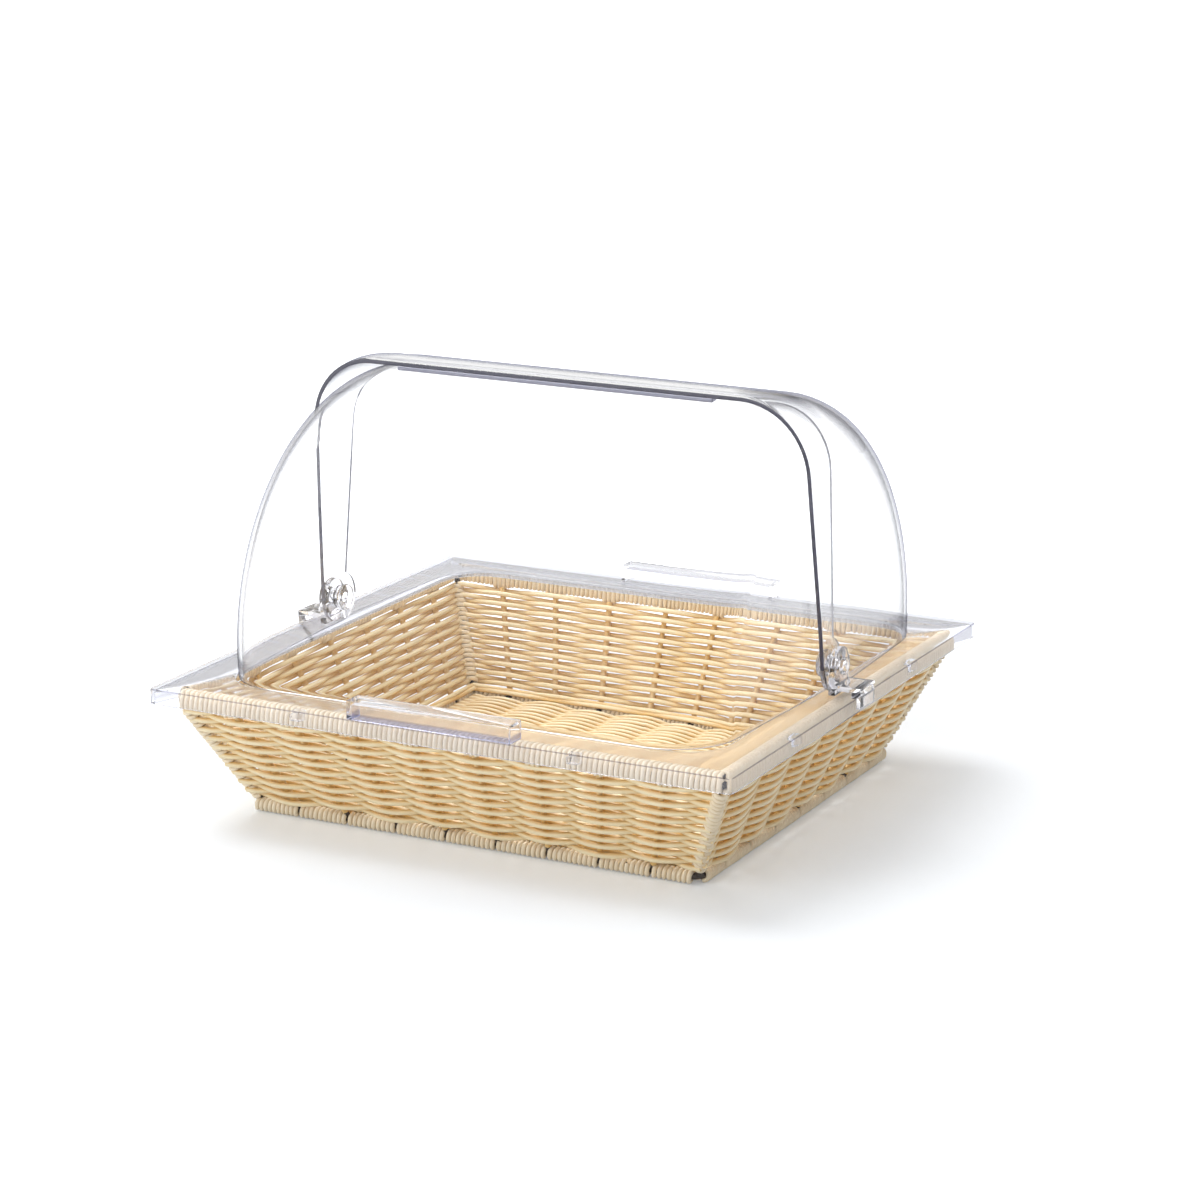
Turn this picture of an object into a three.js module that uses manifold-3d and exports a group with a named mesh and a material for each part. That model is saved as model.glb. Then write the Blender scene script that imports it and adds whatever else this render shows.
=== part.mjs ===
// Countertop bread display bin: a woven basket on a wire skeleton, with a clear lift-off cover
// whose two quarter hoods turn about one axis. Millimetres and degrees, +Z up, front towards -Y.
// The origin lies on the table, under the middle of the basket.

import * as THREE from 'three';
import { mergeVertices } from 'three/addons/utils/BufferGeometryUtils.js';
import Module from 'manifold-3d';

const wasm = await Module();
wasm.setup();

// Basket, measured over its wrapping
const rimLength = 354;
const rimWidth = 325;
const baseLength = 294;
const baseWidth = 258;
const basketHeight = 78.2;

// Wires and cane
const wireDiameter = 4;
const wireCornerRadius = 5.2;
const stakeDiameter = 3.2;
const longStakeCount = 8;
const sideStakeCount = 7;
const stakeSpreadShare = 0.8;
const rimWrapWidth = 8;
const rimWrapHeight = 10.4;
const baseWrapSize = 9;
const cornerWrapDiameter = 9;
const stakeGap = 4.4;
const wallThickness = 8;
const basePanelThickness = 6;
const strandDiameter = 2.8;
const strandCover = 0.8;
const weaveRowPitch = 2.9;

// Cover frame
const sideOverhang = 7.5;
const endOverhang = 10;
const plateThickness = 2.5;
const skirtHeight = 9;
const skirtWall = 2.4;
const frameCornerRadius = 4;
const openingCornerRadius = 26;
const openingLedge = 3;
const lugWidth = 6.5;
const lugHeight = 4;
const lugSpreadShare = 0.475;

// Hoods
const hoodWall = 2.4;
const hoodGap = 1.9;
const frontSeatInset = 25.5;
const sideSeatInset = 22;
const axisHeight = 15.5;
const innerFilletRadius = 38;
const outerFilletRadius = 42;
const wallDraft = 3;
const leadingLean = 4.7;
const leadingFlare = 7;
const leadingFlareSpread = 20;
const rearEdgeOffset = 4.3;
const rearEdgeLean = 3;
const stripLength = 204;
const stripThickness = 2.4;
const stripWidth = 6;

// Hinges
const rivetDiameter = 6;
const rivetHeadDiameter = 16;
const rivetTailDiameter = 10;
const rivetHeadThickness = 2.4;
const spacerDiameter = 14;
const knuckleDiameter = 22;
const knuckleThickness = 4;
const bracketWidth = 20;
const bracketArmThickness = 3;
const bracketSlotHeight = 3.2;
const hookThickness = 2.4;
const hookDrop = 6;

// Grip rails
const railLength = 104;
const railHeight = 11;
const railWall = 2.4;
const railSwingClearance = 1.8;

// Clearances
const fitGap = 0.3;
const footGap = 0.5;
const boreGap = 0.4;
const overrun = 5;

// Faceting
const wireSides = 8;
const roundSides = 24;
const hoodSteps = 64;
const filletSteps = 6;
const cornerSteps = 3;
const ridgeSteps = 4;

// Places worked out from the sizes above
const base = {
  halfX: (baseLength - baseWrapSize) / 2,
  halfY: (baseWidth - baseWrapSize) / 2,
  z: baseWrapSize / 2,
};
const rim = {
  halfX: (rimLength - rimWrapWidth) / 2,
  halfY: (rimWidth - rimWrapWidth) / 2,
  z: basketHeight - rimWrapHeight / 2,
};
const wall = { bottom: baseWrapSize + fitGap, top: basketHeight - rimWrapHeight - fitGap };
const frame = { halfX: rimLength / 2 + sideOverhang, halfY: rimWidth / 2 + endOverhang };
frame.underside = basketHeight + fitGap;
frame.top = frame.underside + plateThickness;
frame.skirtFoot = frame.top - skirtHeight;
const axisZ = frame.top + axisHeight;
const earRadius = axisHeight - footGap;
const innerHood = {
  radius: frame.halfY - frontSeatInset,
  halfWidth: frame.halfX - sideSeatInset,
  fillet: innerFilletRadius,
};
const outerHood = {
  radius: innerHood.radius + hoodGap + hoodWall,
  halfWidth: innerHood.halfWidth + hoodGap + hoodWall,
  fillet: outerFilletRadius,
};
const opening = {
  halfX: innerHood.halfWidth - hoodWall - openingLedge,
  halfY: innerHood.radius - hoodWall - openingLedge,
};
const railDepth = frontSeatInset - hoodGap - hoodWall - leadingFlare - railSwingClearance;
const cornerInset = wireCornerRadius * (1 - Math.SQRT1_2);

const rad = THREE.MathUtils.degToRad;
const draftSlope = Math.tan(rad(wallDraft));

// Materials
const steel = new THREE.MeshStandardMaterial({ color: 0x4a3c30, roughness: 0.45, metalness: 0.6 });
const cane = new THREE.MeshStandardMaterial({ color: 0xe3cda4, roughness: 0.5, metalness: 0 });
const wrapCane = new THREE.MeshStandardMaterial({ color: 0xe9d9b8, roughness: 0.48, metalness: 0 });
const clear = new THREE.MeshStandardMaterial({
  color: 0xe9e9f2, roughness: 0.08, metalness: 0, transparent: true, opacity: 0.3,
});

// Solids from three.js geometry and back
function welded(geometry) {
  const plain = geometry.index ? geometry : mergeVertices(geometry);
  plain.deleteAttribute('normal');
  plain.deleteAttribute('uv');
  const merged = mergeVertices(plain, 1e-4);
  const source = merged.index.array;
  const kept = [];
  for (let i = 0; i < source.length; i += 3) {
    const [a, b, c] = [source[i], source[i + 1], source[i + 2]];
    if (a !== b && b !== c && c !== a) kept.push(a, b, c);
  }
  merged.setIndex(kept);
  return merged;
}

function solidOf(geometry) {
  const g = welded(geometry);
  return new wasm.Manifold(new wasm.Mesh({
    numProp: 3,
    vertProperties: new Float32Array(g.attributes.position.array),
    triVerts: new Uint32Array(g.index.array),
  }));
}

function geometryOf(solid) {
  const mesh = solid.getMesh();
  const g = new THREE.BufferGeometry();
  g.setAttribute('position', new THREE.BufferAttribute(new Float32Array(mesh.vertProperties), 3));
  g.setIndex(new THREE.BufferAttribute(new Uint32Array(mesh.triVerts), 1));
  return g;
}

function cutFrom(body, cutters) {
  return cutters.reduce((left, cutter) => left.subtract(solidOf(cutter)), body);
}

// Basic shapes
function boxBetween(low, high) {
  const size = high.clone().sub(low);
  const box = new THREE.BoxGeometry(size.x, size.y, size.z);
  return box.translate(low.x + size.x / 2, low.y + size.y / 2, low.z + size.z / 2);
}

function rodBetween(from, to, diameter, sides = wireSides) {
  const along = to.clone().sub(from);
  const rod = new THREE.CylinderGeometry(diameter / 2, diameter / 2, along.length(), sides);
  const turn = new THREE.Quaternion().setFromUnitVectors(new THREE.Vector3(0, 1, 0), along.clone().normalize());
  return rod.applyQuaternion(turn).translate(...from.clone().add(to).multiplyScalar(0.5).toArray());
}

function roundedRectangle(halfX, halfY, radius) {
  const shape = new THREE.Shape();
  shape.moveTo(-halfX + radius, -halfY);
  shape.lineTo(halfX - radius, -halfY);
  shape.absarc(halfX - radius, -halfY + radius, radius, -Math.PI / 2, 0);
  shape.lineTo(halfX, halfY - radius);
  shape.absarc(halfX - radius, halfY - radius, radius, 0, Math.PI / 2);
  shape.lineTo(-halfX + radius, halfY);
  shape.absarc(-halfX + radius, halfY - radius, radius, Math.PI / 2, Math.PI);
  shape.lineTo(-halfX, -halfY + radius);
  shape.absarc(-halfX + radius, -halfY + radius, radius, Math.PI, Math.PI * 1.5);
  return shape;
}

function plateFrom(shape, bottom, top, curveSegments = cornerSteps) {
  const plate = new THREE.ExtrudeGeometry(shape, { depth: top - bottom, bevelEnabled: false, curveSegments });
  return plate.translate(0, 0, bottom);
}

// An octagon with a flat underside and top, and a round bore if one is given
function wrapSection(width, height, bore) {
  const corner = (sizeX, sizeY, i) => {
    const angle = Math.PI / 8 + (i * Math.PI) / 4;
    const reach = 1 / Math.cos(Math.PI / 8);
    return new THREE.Vector2((sizeX / 2) * reach * Math.cos(angle), (sizeY / 2) * reach * Math.sin(angle));
  };
  const ring = (sizeX, sizeY) => Array.from({ length: 8 }, (_, i) => corner(sizeX, sizeY, i));
  const shape = new THREE.Shape(ring(width, height));
  shape.holes.push(new THREE.Path(ring(bore, bore).reverse()));
  return shape;
}

// Turns a shape's own plane into the one whose first axis is `first` and second is up
function standUp(geometry, first) {
  const up = new THREE.Vector3(0, 0, 1);
  return geometry.applyMatrix4(new THREE.Matrix4().makeBasis(first, up, first.clone().cross(up)));
}

// A closed wire ring on a rounded rectangle
function wireRing(halfX, halfY, z) {
  const straightX = halfX - wireCornerRadius;
  const straightY = halfY - wireCornerRadius;
  const corners = [[1, 1], [-1, 1], [-1, -1], [1, -1]];
  const stations = [];
  corners.forEach(([sx, sy], quarter) => {
    for (let i = 0; i <= cornerSteps * 2; i += 1) {
      const angle = (quarter + i / (cornerSteps * 2)) * (Math.PI / 2);
      stations.push({ x: sx * straightX, y: sy * straightY, angle });
    }
  });
  const positions = [];
  const index = [];
  stations.forEach(({ x, y, angle }) => {
    for (let k = 0; k < wireSides; k += 1) {
      const turn = (k / wireSides) * Math.PI * 2;
      const out = wireCornerRadius + (wireDiameter / 2) * Math.cos(turn);
      positions.push(x + out * Math.cos(angle), y + out * Math.sin(angle), z + (wireDiameter / 2) * Math.sin(turn));
    }
  });
  stations.forEach((_, s) => {
    const here = s * wireSides;
    const next = ((s + 1) % stations.length) * wireSides;
    for (let k = 0; k < wireSides; k += 1) {
      const other = (k + 1) % wireSides;
      index.push(here + k, next + k, next + other, here + k, next + other, here + other);
    }
  });
  const g = new THREE.BufferGeometry();
  g.setAttribute('position', new THREE.Float32BufferAttribute(positions, 3));
  g.setIndex(index);
  return solidOf(g);
}

// The four sides: `out` points away from the middle, `along` runs along the side
const sides = [
  { name: 'front', out: [0, -1], along: [1, 0], reach: 'halfY', run: 'halfX', count: longStakeCount },
  { name: 'back', out: [0, 1], along: [1, 0], reach: 'halfY', run: 'halfX', count: longStakeCount },
  { name: 'left', out: [-1, 0], along: [0, 1], reach: 'halfX', run: 'halfY', count: sideStakeCount },
  { name: 'right', out: [1, 0], along: [0, 1], reach: 'halfX', run: 'halfY', count: sideStakeCount },
];

function onSide(side, along, out, z) {
  return new THREE.Vector3(
    side.along[0] * along + side.out[0] * out,
    side.along[1] * along + side.out[1] * out,
    z,
  );
}

// Wall slopes: a length of the base ring grows into that of the rim ring with height
function atHeight(key, z) {
  return THREE.MathUtils.mapLinear(z, base.z, rim.z, base[key], rim[key]);
}

function stakeShares(count) {
  return Array.from({ length: count }, (_, i) => stakeSpreadShare * ((2 * i) / (count - 1) - 1));
}

function stakeEnds(side, share) {
  const foot = onSide(side, share * base[side.run], base[side.reach], base.z);
  const head = onSide(side, share * rim[side.run], rim[side.reach], rim.z);
  const climb = head.clone().sub(foot).normalize();
  const top = (wall.top - stakeDiameter / 2 - base.z) / climb.z;
  return [foot.clone(), foot.clone().addScaledVector(climb, top)];
}

function stakeRods(side, diameter, lengthen = 0) {
  return stakeShares(side.count).map((share) => {
    const [foot, head] = stakeEnds(side, share);
    const climb = head.clone().sub(foot).normalize();
    return rodBetween(foot, head.addScaledVector(climb, lengthen), diameter);
  });
}

// Where strands are held along a side, at the stakes and the corner posts, with a place between neighbours
function heldPlaces(side, z, endInset) {
  const half = atHeight(side.run, z);
  const held = [endInset - half, ...stakeShares(side.count).map((share) => share * half), half - endInset];
  return held.flatMap((place, i) => (i === 0 ? [place] : [(place + held[i - 1]) / 2, place]));
}

// How far a row stands out of the wall's middle plane: in front of a stake, behind it, or between two
function strandReach(column, row, face) {
  if (column % 2 === 1) return strandDiameter / 2;
  const inFront = (column / 2 + row) % 2 === (face + 1) / 2;
  return inFront ? wallThickness / 2 : stakeDiameter / 2 + boreGap + strandCover;
}

// A closed sheet from loops of points one above the other, each out along one face and back along the other
function sheetFrom(loops) {
  const count = loops[0].length;
  const top = (loops.length - 1) * count;
  const index = [];
  for (let a = 0; a < top; a += 1) {
    const b = (a + 1) % count === 0 ? a + 1 - count : a + 1;
    index.push(a, b, b + count, a, b + count, a + count);
  }
  for (let a = 0; a < count / 2 - 1; a += 1) {
    const [b, c, d] = [a + 1, count - 2 - a, count - 1 - a];
    index.push(a, d, c, a, c, b, top + a, top + b, top + c, top + a, top + c, top + d);
  }
  const sheet = new THREE.BufferGeometry();
  sheet.setAttribute('position', new THREE.Float32BufferAttribute(loops.flat().flatMap((p) => p.toArray()), 3));
  sheet.setIndex(index);
  return solidOf(sheet);
}

// A woven wall: rows that pass in front of and behind the stakes in turn, in one sheet bored for the stakes
function wovenWall(side) {
  const slope = Math.atan2(rim[side.reach] - base[side.reach], rim.z - base.z);
  const fan = Math.atan2(rim[side.run] - base[side.run], (rim.z - base.z) / Math.cos(slope));
  const endInset = cornerInset + (cornerWrapDiameter / 2 + fitGap) / Math.cos(fan);
  const rows = Math.round((wall.top - wall.bottom) / weaveRowPitch);
  const heights = Array.from({ length: rows }, (_, row) => (
    THREE.MathUtils.lerp(wall.bottom, wall.top, (row + 0.5) / rows)
  ));
  const line = (z, row, face) => heldPlaces(side, z, endInset).map((place, column) => {
    const reach = strandReach(column, row, face) / Math.cos(slope);
    return onSide(side, place, atHeight(side.reach, z) + face * reach, z);
  });
  const outwards = side.along[0] * side.out[1] - side.along[1] * side.out[0] < 0 ? 1 : -1;
  const loop = (z, row) => [...line(z, row, outwards), ...line(z, row, -outwards).reverse()];
  const loops = [loop(wall.bottom, 0), ...heights.map(loop), loop(wall.top, rows - 1)];
  return geometryOf(cutFrom(sheetFrom(loops), stakeRods(side, stakeDiameter + boreGap * 2, overrun)));
}

function straightWrap(side, ring, width, height, from, to) {
  const section = wrapSection(width, height, wireDiameter + fitGap * 2);
  const tube = new THREE.ExtrudeGeometry(section, { depth: to - from, bevelEnabled: false });
  const across = new THREE.Vector3(-side.along[1], side.along[0], 0);
  standUp(tube, across);
  const start = across.clone().cross(new THREE.Vector3(0, 0, 1));
  const centre = onSide(side, 0, ring[side.reach], ring.z);
  const middle = (from + to) / 2;
  const origin = onSide(side, middle, 0, 0).sub(start.multiplyScalar((to - from) / 2)).add(centre);
  return tube.translate(origin.x, origin.y, origin.z);
}

function rimWrap(side) {
  const end = rim[side.run] - wireCornerRadius - footGap;
  return straightWrap(side, rim, rimWrapWidth, rimWrapHeight, -end, end);
}

// The base wrapping lies in bundles that only its lowest turns join, with a gap at each stake
function baseWrap(side) {
  const end = base[side.run] - wireCornerRadius;
  const reach = baseWrapSize / 2 + overrun;
  const floor = base.z - wireDiameter / 2 - fitGap;
  const notches = stakeShares(side.count).map((share) => {
    const middle = share * base[side.run];
    const a = onSide(side, middle - stakeGap / 2, base[side.reach] - reach, floor);
    const b = onSide(side, middle + stakeGap / 2, base[side.reach] + reach, baseWrapSize + overrun);
    return boxBetween(a.clone().min(b), a.clone().max(b));
  });
  const cutters = [...notches, ...stakeRods(side, stakeDiameter + boreGap * 2)];
  return geometryOf(cutFrom(solidOf(straightWrap(side, base, baseWrapSize, baseWrapSize, -end, end)), cutters));
}

function cornerAxis(sx, sy) {
  const point = (ring) => new THREE.Vector3(
    sx * (ring.halfX - cornerInset), sy * (ring.halfY - cornerInset), ring.z,
  );
  const [foot, head] = [point(base), point(rim)];
  return { foot, head, climb: head.clone().sub(foot).normalize() };
}

function cornerWire(sx, sy) {
  const { foot, head, climb } = cornerAxis(sx, sy);
  const seat = wireDiameter / 2 + fitGap;
  return rodBetween(foot.addScaledVector(climb, seat), head.addScaledVector(climb, -seat), wireDiameter);
}

function cornerWrap(sx, sy) {
  const { foot, climb } = cornerAxis(sx, sy);
  const rise = (cornerWrapDiameter / 2) * Math.hypot(climb.x, climb.y);
  const atZ = (z) => foot.clone().addScaledVector(climb, (z - foot.z) / climb.z);
  const [from, to] = [atZ(wall.bottom + rise), atZ(wall.top - rise)];
  const sleeve = rodBetween(from, to, cornerWrapDiameter, roundSides / 2);
  const bore = rodBetween(
    from.clone().addScaledVector(climb, -overrun), to.clone().addScaledVector(climb, overrun),
    wireDiameter + boreGap * 2,
  );
  return geometryOf(cutFrom(solidOf(sleeve), [bore]));
}

// The woven base, bored for the stakes that run from front to back
function baseRods(diameter, reach) {
  return stakeShares(longStakeCount).map((share) => rodBetween(
    new THREE.Vector3(share * base.halfX, -reach, base.z),
    new THREE.Vector3(share * base.halfX, reach, base.z),
    diameter,
  ));
}

// Over each stake the strands make a ridge on both faces
function basePanel() {
  const halfX = base.halfX - baseWrapSize / 2 - fitGap;
  const halfY = base.halfY - baseWrapSize / 2 - fitGap;
  const pitch = (2 * stakeSpreadShare * base.halfX) / (longStakeCount - 1);
  const swing = (basePanelThickness - strandDiameter) / 2;
  const steps = Math.ceil((halfX / pitch) * ridgeSteps);
  const along = Array.from({ length: steps * 2 + 1 }, (_, i) => (
    THREE.MathUtils.clamp(((i - steps) * pitch) / ridgeSteps, -halfX, halfX)
  ));
  const face = (sign) => along.map((x) => {
    const fromStake = x / pitch + (longStakeCount - 1) / 2;
    const reach = strandDiameter / 2 + swing * Math.abs(Math.cos(fromStake * Math.PI));
    return new THREE.Vector2(x, base.z + sign * reach);
  });
  const outline = new THREE.Shape([...face(-1), ...face(1).reverse()]);
  const panel = new THREE.ExtrudeGeometry(outline, { depth: halfY * 2, bevelEnabled: false });
  panel.rotateX(Math.PI / 2).translate(0, halfY, 0);
  return geometryOf(cutFrom(solidOf(panel), baseRods(stakeDiameter + boreGap * 2, halfY + overrun)));
}

// The base ring with every stake welded to it
function wireCage() {
  const rods = [...baseRods(stakeDiameter, base.halfY), ...sides.flatMap((side) => stakeRods(side, stakeDiameter))];
  return geometryOf(rods.reduce((cage, rod) => cage.add(solidOf(rod)), wireRing(base.halfX, base.halfY, base.z)));
}

// The clear frame: a plate with a skirt, open in the middle, with lugs that centre it on the rim
function coverFrame() {
  const outline = roundedRectangle(frame.halfX, frame.halfY, frameCornerRadius);
  outline.holes.push(roundedRectangle(opening.halfX, opening.halfY, openingCornerRadius));
  const innerX = frame.halfX - skirtWall;
  const innerY = frame.halfY - skirtWall;
  const pocket = roundedRectangle(innerX, innerY, frameCornerRadius - skirtWall);
  const body = cutFrom(
    solidOf(plateFrom(outline, frame.skirtFoot, frame.top, cornerSteps * 2)),
    [plateFrom(pocket, frame.skirtFoot - overrun, frame.underside, cornerSteps * 2)],
  );
  return geometryOf(lugs().reduce((whole, lug) => whole.add(solidOf(lug)), body));
}

function lugs() {
  const sink = skirtWall / 2;
  const made = [];
  for (const side of sides) {
    const inner = frame[side.reach] - skirtWall;
    const rimFace = side.reach === 'halfX' ? rimLength / 2 : rimWidth / 2;
    for (const sign of [-1, 1]) {
      const middle = sign * lugSpreadShare * frame[side.run];
      const a = onSide(side, middle - lugWidth / 2, rimFace + footGap, frame.underside - lugHeight);
      const b = onSide(side, middle + lugWidth / 2, inner + sink, frame.underside + plateThickness / 2);
      made.push(boxBetween(a.clone().min(b), a.clone().max(b)));
    }
  }
  return made;
}

// A raised rail: a front wall with a flange over the finger gap, closed at both ends
function gripRail(sign) {
  const outer = frame.halfY;
  const inner = outer - railDepth;
  const box = (x0, x1, y0, y1, z0, z1) => {
    const [a, b] = [new THREE.Vector3(x0, sign * y0, z0), new THREE.Vector3(x1, sign * y1, z1)];
    return boxBetween(a.clone().min(b), a.clone().max(b));
  };
  const body = solidOf(box(-railLength / 2, railLength / 2, inner, outer, frame.top, frame.top + railHeight));
  const hollow = box(
    -railLength / 2 + railWall, railLength / 2 - railWall, inner - overrun, outer - railWall,
    frame.top - overrun, frame.top + railHeight - railWall,
  );
  return geometryOf(cutFrom(body, [hollow]));
}

// Half of a hood's outline: flat ear, drafted side, fillet and flat crown, as radius over x
function drumProfile(radius, halfWidth, fillet) {
  const centreRadius = radius - fillet;
  const slant = rad(wallDraft);
  const centreX = halfWidth - (centreRadius - earRadius) * draftSlope - fillet / Math.cos(slant);
  const half = [new THREE.Vector2(0, halfWidth), new THREE.Vector2(earRadius, halfWidth)];
  for (let i = 0; i <= filletSteps; i += 1) {
    const angle = slant + (i / filletSteps) * (Math.PI / 2 - slant);
    half.push(new THREE.Vector2(centreRadius + fillet * Math.sin(angle), centreX + fillet * Math.cos(angle)));
  }
  const other = half.map((p) => new THREE.Vector2(p.x, -p.y));
  return [...other, ...half.reverse()];
}

// A solid of revolution about the hinge axis. `flare` lets its radius grow towards the leading edge.
function drum(hood, inset, flare) {
  const fillet = hood.fillet - inset;
  const profile = drumProfile(hood.radius - inset, hood.halfWidth - inset, fillet);
  const g = new THREE.LatheGeometry(profile, hoodSteps);
  g.applyMatrix4(new THREE.Matrix4().makeBasis(
    new THREE.Vector3(0, 1, 0), new THREE.Vector3(1, 0, 0), new THREE.Vector3(0, 0, -1),
  ));
  const position = g.attributes.position;
  const leading = Math.PI / 2 + rad(leadingLean) + Math.asin(earRadius / hood.radius);
  for (let i = 0; flare && i < position.count; i += 1) {
    const [y, z] = [position.getY(i), position.getZ(i)];
    const before = Math.abs(leading - Math.atan2(z, y));
    const share = Math.max(0, 1 - before / rad(leadingFlareSpread));
    const grow = 1 + (leadingFlare / hood.radius) * share * share * (3 - 2 * share);
    position.setXYZ(i, position.getX(i), y * grow, z * grow);
  }
  return solidOf(g);
}

// A prism along X from an outline in the hood's side view, whose origin is the hinge axis
function sidePrism(points, halfLength) {
  const shape = new THREE.Shape(points.map(([y, z]) => new THREE.Vector2(y, z)));
  const prism = new THREE.ExtrudeGeometry(shape, { depth: halfLength * 2, bevelEnabled: false });
  prism.translate(0, 0, -halfLength);
  return solidOf(standUp(prism, new THREE.Vector3(0, 1, 0)));
}

function axle(diameter, from, to, sidesAround = roundSides) {
  return rodBetween(new THREE.Vector3(from, 0, 0), new THREE.Vector3(to, 0, 0), diameter, sidesAround);
}

function hoodShell(hood, outlinePoints, flare) {
  const reach = hood.halfWidth + overrun;
  const ear = solidOf(axle(earRadius * 2, -reach, reach, roundSides * 2));
  const region = sidePrism(outlinePoints, reach).add(ear);
  const shell = drum(hood, 0, flare).subtract(drum(hood, hoodWall, flare)).intersect(region);
  return geometryOf(shell.subtract(solidOf(axle(rivetDiameter + boreGap * 2, -reach, reach))));
}

function frontHood() {
  const far = innerHood.radius + overrun;
  const slope = Math.tan(rad(rearEdgeLean));
  return hoodShell(innerHood, [
    [-far, -earRadius], [0, -earRadius], [rearEdgeOffset, 0],
    [rearEdgeOffset + far * slope, far], [-far, far],
  ], false);
}

function backHood() {
  const far = outerHood.radius + leadingFlare + overrun;
  const slope = Math.tan(rad(leadingLean));
  return hoodShell(outerHood, [
    [0, -earRadius], [far, -earRadius], [far, far], [-earRadius - far * slope, far], [-earRadius, 0],
  ], true);
}

// The strip lies under the back hood's leading edge, at the flared radius
function gripStrip() {
  const lean = rad(leadingLean);
  const edgeRadius = outerHood.radius + leadingFlare;
  const away = Math.asin(earRadius / edgeRadius);
  const top = edgeRadius * Math.cos(away) - hoodWall - fitGap * 2;
  const strip = boxBetween(
    new THREE.Vector3(-stripLength / 2, -earRadius, top - stripThickness),
    new THREE.Vector3(stripLength / 2, -earRadius + stripWidth, top),
  );
  return strip.rotateX(lean);
}

// Hinge pieces are made for the right side, about the hinge axis, and mirrored for the left
function mirrored(geometry, sign) {
  return sign > 0 ? geometry : geometry.rotateZ(Math.PI);
}

function lathed(points) {
  const g = new THREE.LatheGeometry(points.map(([r, x]) => new THREE.Vector2(r, x)), roundSides);
  return g.applyMatrix4(new THREE.Matrix4().makeBasis(
    new THREE.Vector3(0, 1, 0), new THREE.Vector3(1, 0, 0), new THREE.Vector3(0, 0, -1),
  ));
}

const knuckleFrom = outerHood.halfWidth + footGap;
const knuckleTo = knuckleFrom + knuckleThickness;

function hingeRivet() {
  const headTo = innerHood.halfWidth - hoodWall - footGap;
  const headFrom = headTo - rivetHeadThickness;
  const tailFrom = knuckleTo + fitGap;
  const tailTo = tailFrom + rivetHeadThickness;
  const [shank, head, tail] = [rivetDiameter / 2, rivetHeadDiameter / 2, rivetTailDiameter / 2];
  return geometryOf(solidOf(lathed([
    [0, headFrom], [head, headFrom], [head, headTo], [shank, headTo],
    [shank, tailFrom], [tail, tailFrom], [tail, tailTo], [0, tailTo],
  ])));
}

function hingeSpacer() {
  const from = innerHood.halfWidth + fitGap;
  const to = outerHood.halfWidth - hoodWall - fitGap;
  const [bore, edge] = [rivetDiameter / 2 + boreGap, spacerDiameter / 2];
  return geometryOf(solidOf(lathed([[bore, from], [edge, from], [edge, to], [bore, to], [bore, from]])));
}

// The bracket stands on the plate, reaches over it to the edge and hooks down outside the skirt
function hingeBracket() {
  const plateTop = frame.top - axisZ;
  const armBottom = plateTop + bracketSlotHeight;
  const armTop = armBottom + bracketArmThickness;
  const half = bracketWidth / 2;
  const hookFrom = frame.halfX + fitGap;
  const hookTo = hookFrom + hookThickness;
  const box = (x0, x1, z0, z1) => solidOf(boxBetween(
    new THREE.Vector3(x0, -half, z0), new THREE.Vector3(x1, half, z1),
  ));
  const post = box(knuckleFrom, knuckleTo, plateTop, -half / 2);
  const knuckle = solidOf(axle(knuckleDiameter, knuckleFrom, knuckleTo));
  const arm = box(knuckleTo - knuckleThickness / 2, hookTo, armBottom, armTop);
  const hook = box(hookFrom, hookTo, plateTop - hookDrop, armBottom + bracketArmThickness / 2);
  const heel = box(hookFrom - bracketSlotHeight, hookFrom + hookThickness / 2, plateTop, armTop);
  const body = post.add(knuckle).add(arm).add(hook).add(heel);
  const bore = axle(rivetDiameter + boreGap * 2, knuckleFrom - overrun, knuckleTo + overrun);
  return geometryOf(cutFrom(body, [bore]));
}

// The scene graph
const bin = new THREE.Group();

function place(name, geometry, material, parent = bin) {
  const mesh = new THREE.Mesh(geometry, material);
  mesh.name = name;
  parent.add(mesh);
  return mesh;
}

place('wire_cage', wireCage(), steel);
place('rim_wire_ring', geometryOf(wireRing(rim.halfX, rim.halfY, rim.z)), steel);
place('base_panel', basePanel(), cane);
for (const side of sides) {
  place(`${side.name}_wall`, wovenWall(side), cane);
  place(`rim_wrap_${side.name}`, rimWrap(side), wrapCane);
  place(`base_wrap_${side.name}`, baseWrap(side), wrapCane);
}
for (const [fore, sy] of [['front', -1], ['back', 1]]) {
  for (const [hand, sx] of [['left', -1], ['right', 1]]) {
    place(`corner_wire_${fore}_${hand}`, cornerWire(sx, sy), steel);
    place(`corner_wrap_${fore}_${hand}`, cornerWrap(sx, sy), wrapCane);
  }
}

place('cover_frame', coverFrame(), clear);
place('front_grip_rail', gripRail(-1), clear);
place('back_grip_rail', gripRail(1), clear);

const hinge = new THREE.Group();
hinge.position.z = axisZ;
bin.add(hinge);
place('front_hood', frontHood(), clear, hinge);
place('back_hood', backHood(), clear, hinge);
place('hood_grip_strip', gripStrip(), clear, hinge);
for (const [hand, sign] of [['left', -1], ['right', 1]]) {
  place(`hinge_bracket_${hand}`, mirrored(hingeBracket(), sign), clear, hinge);
  place(`hinge_rivet_${hand}`, mirrored(hingeRivet(), sign), clear, hinge);
  place(`hinge_spacer_${hand}`, mirrored(hingeSpacer(), sign), clear, hinge);
}

export default bin;
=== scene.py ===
import math

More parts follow.
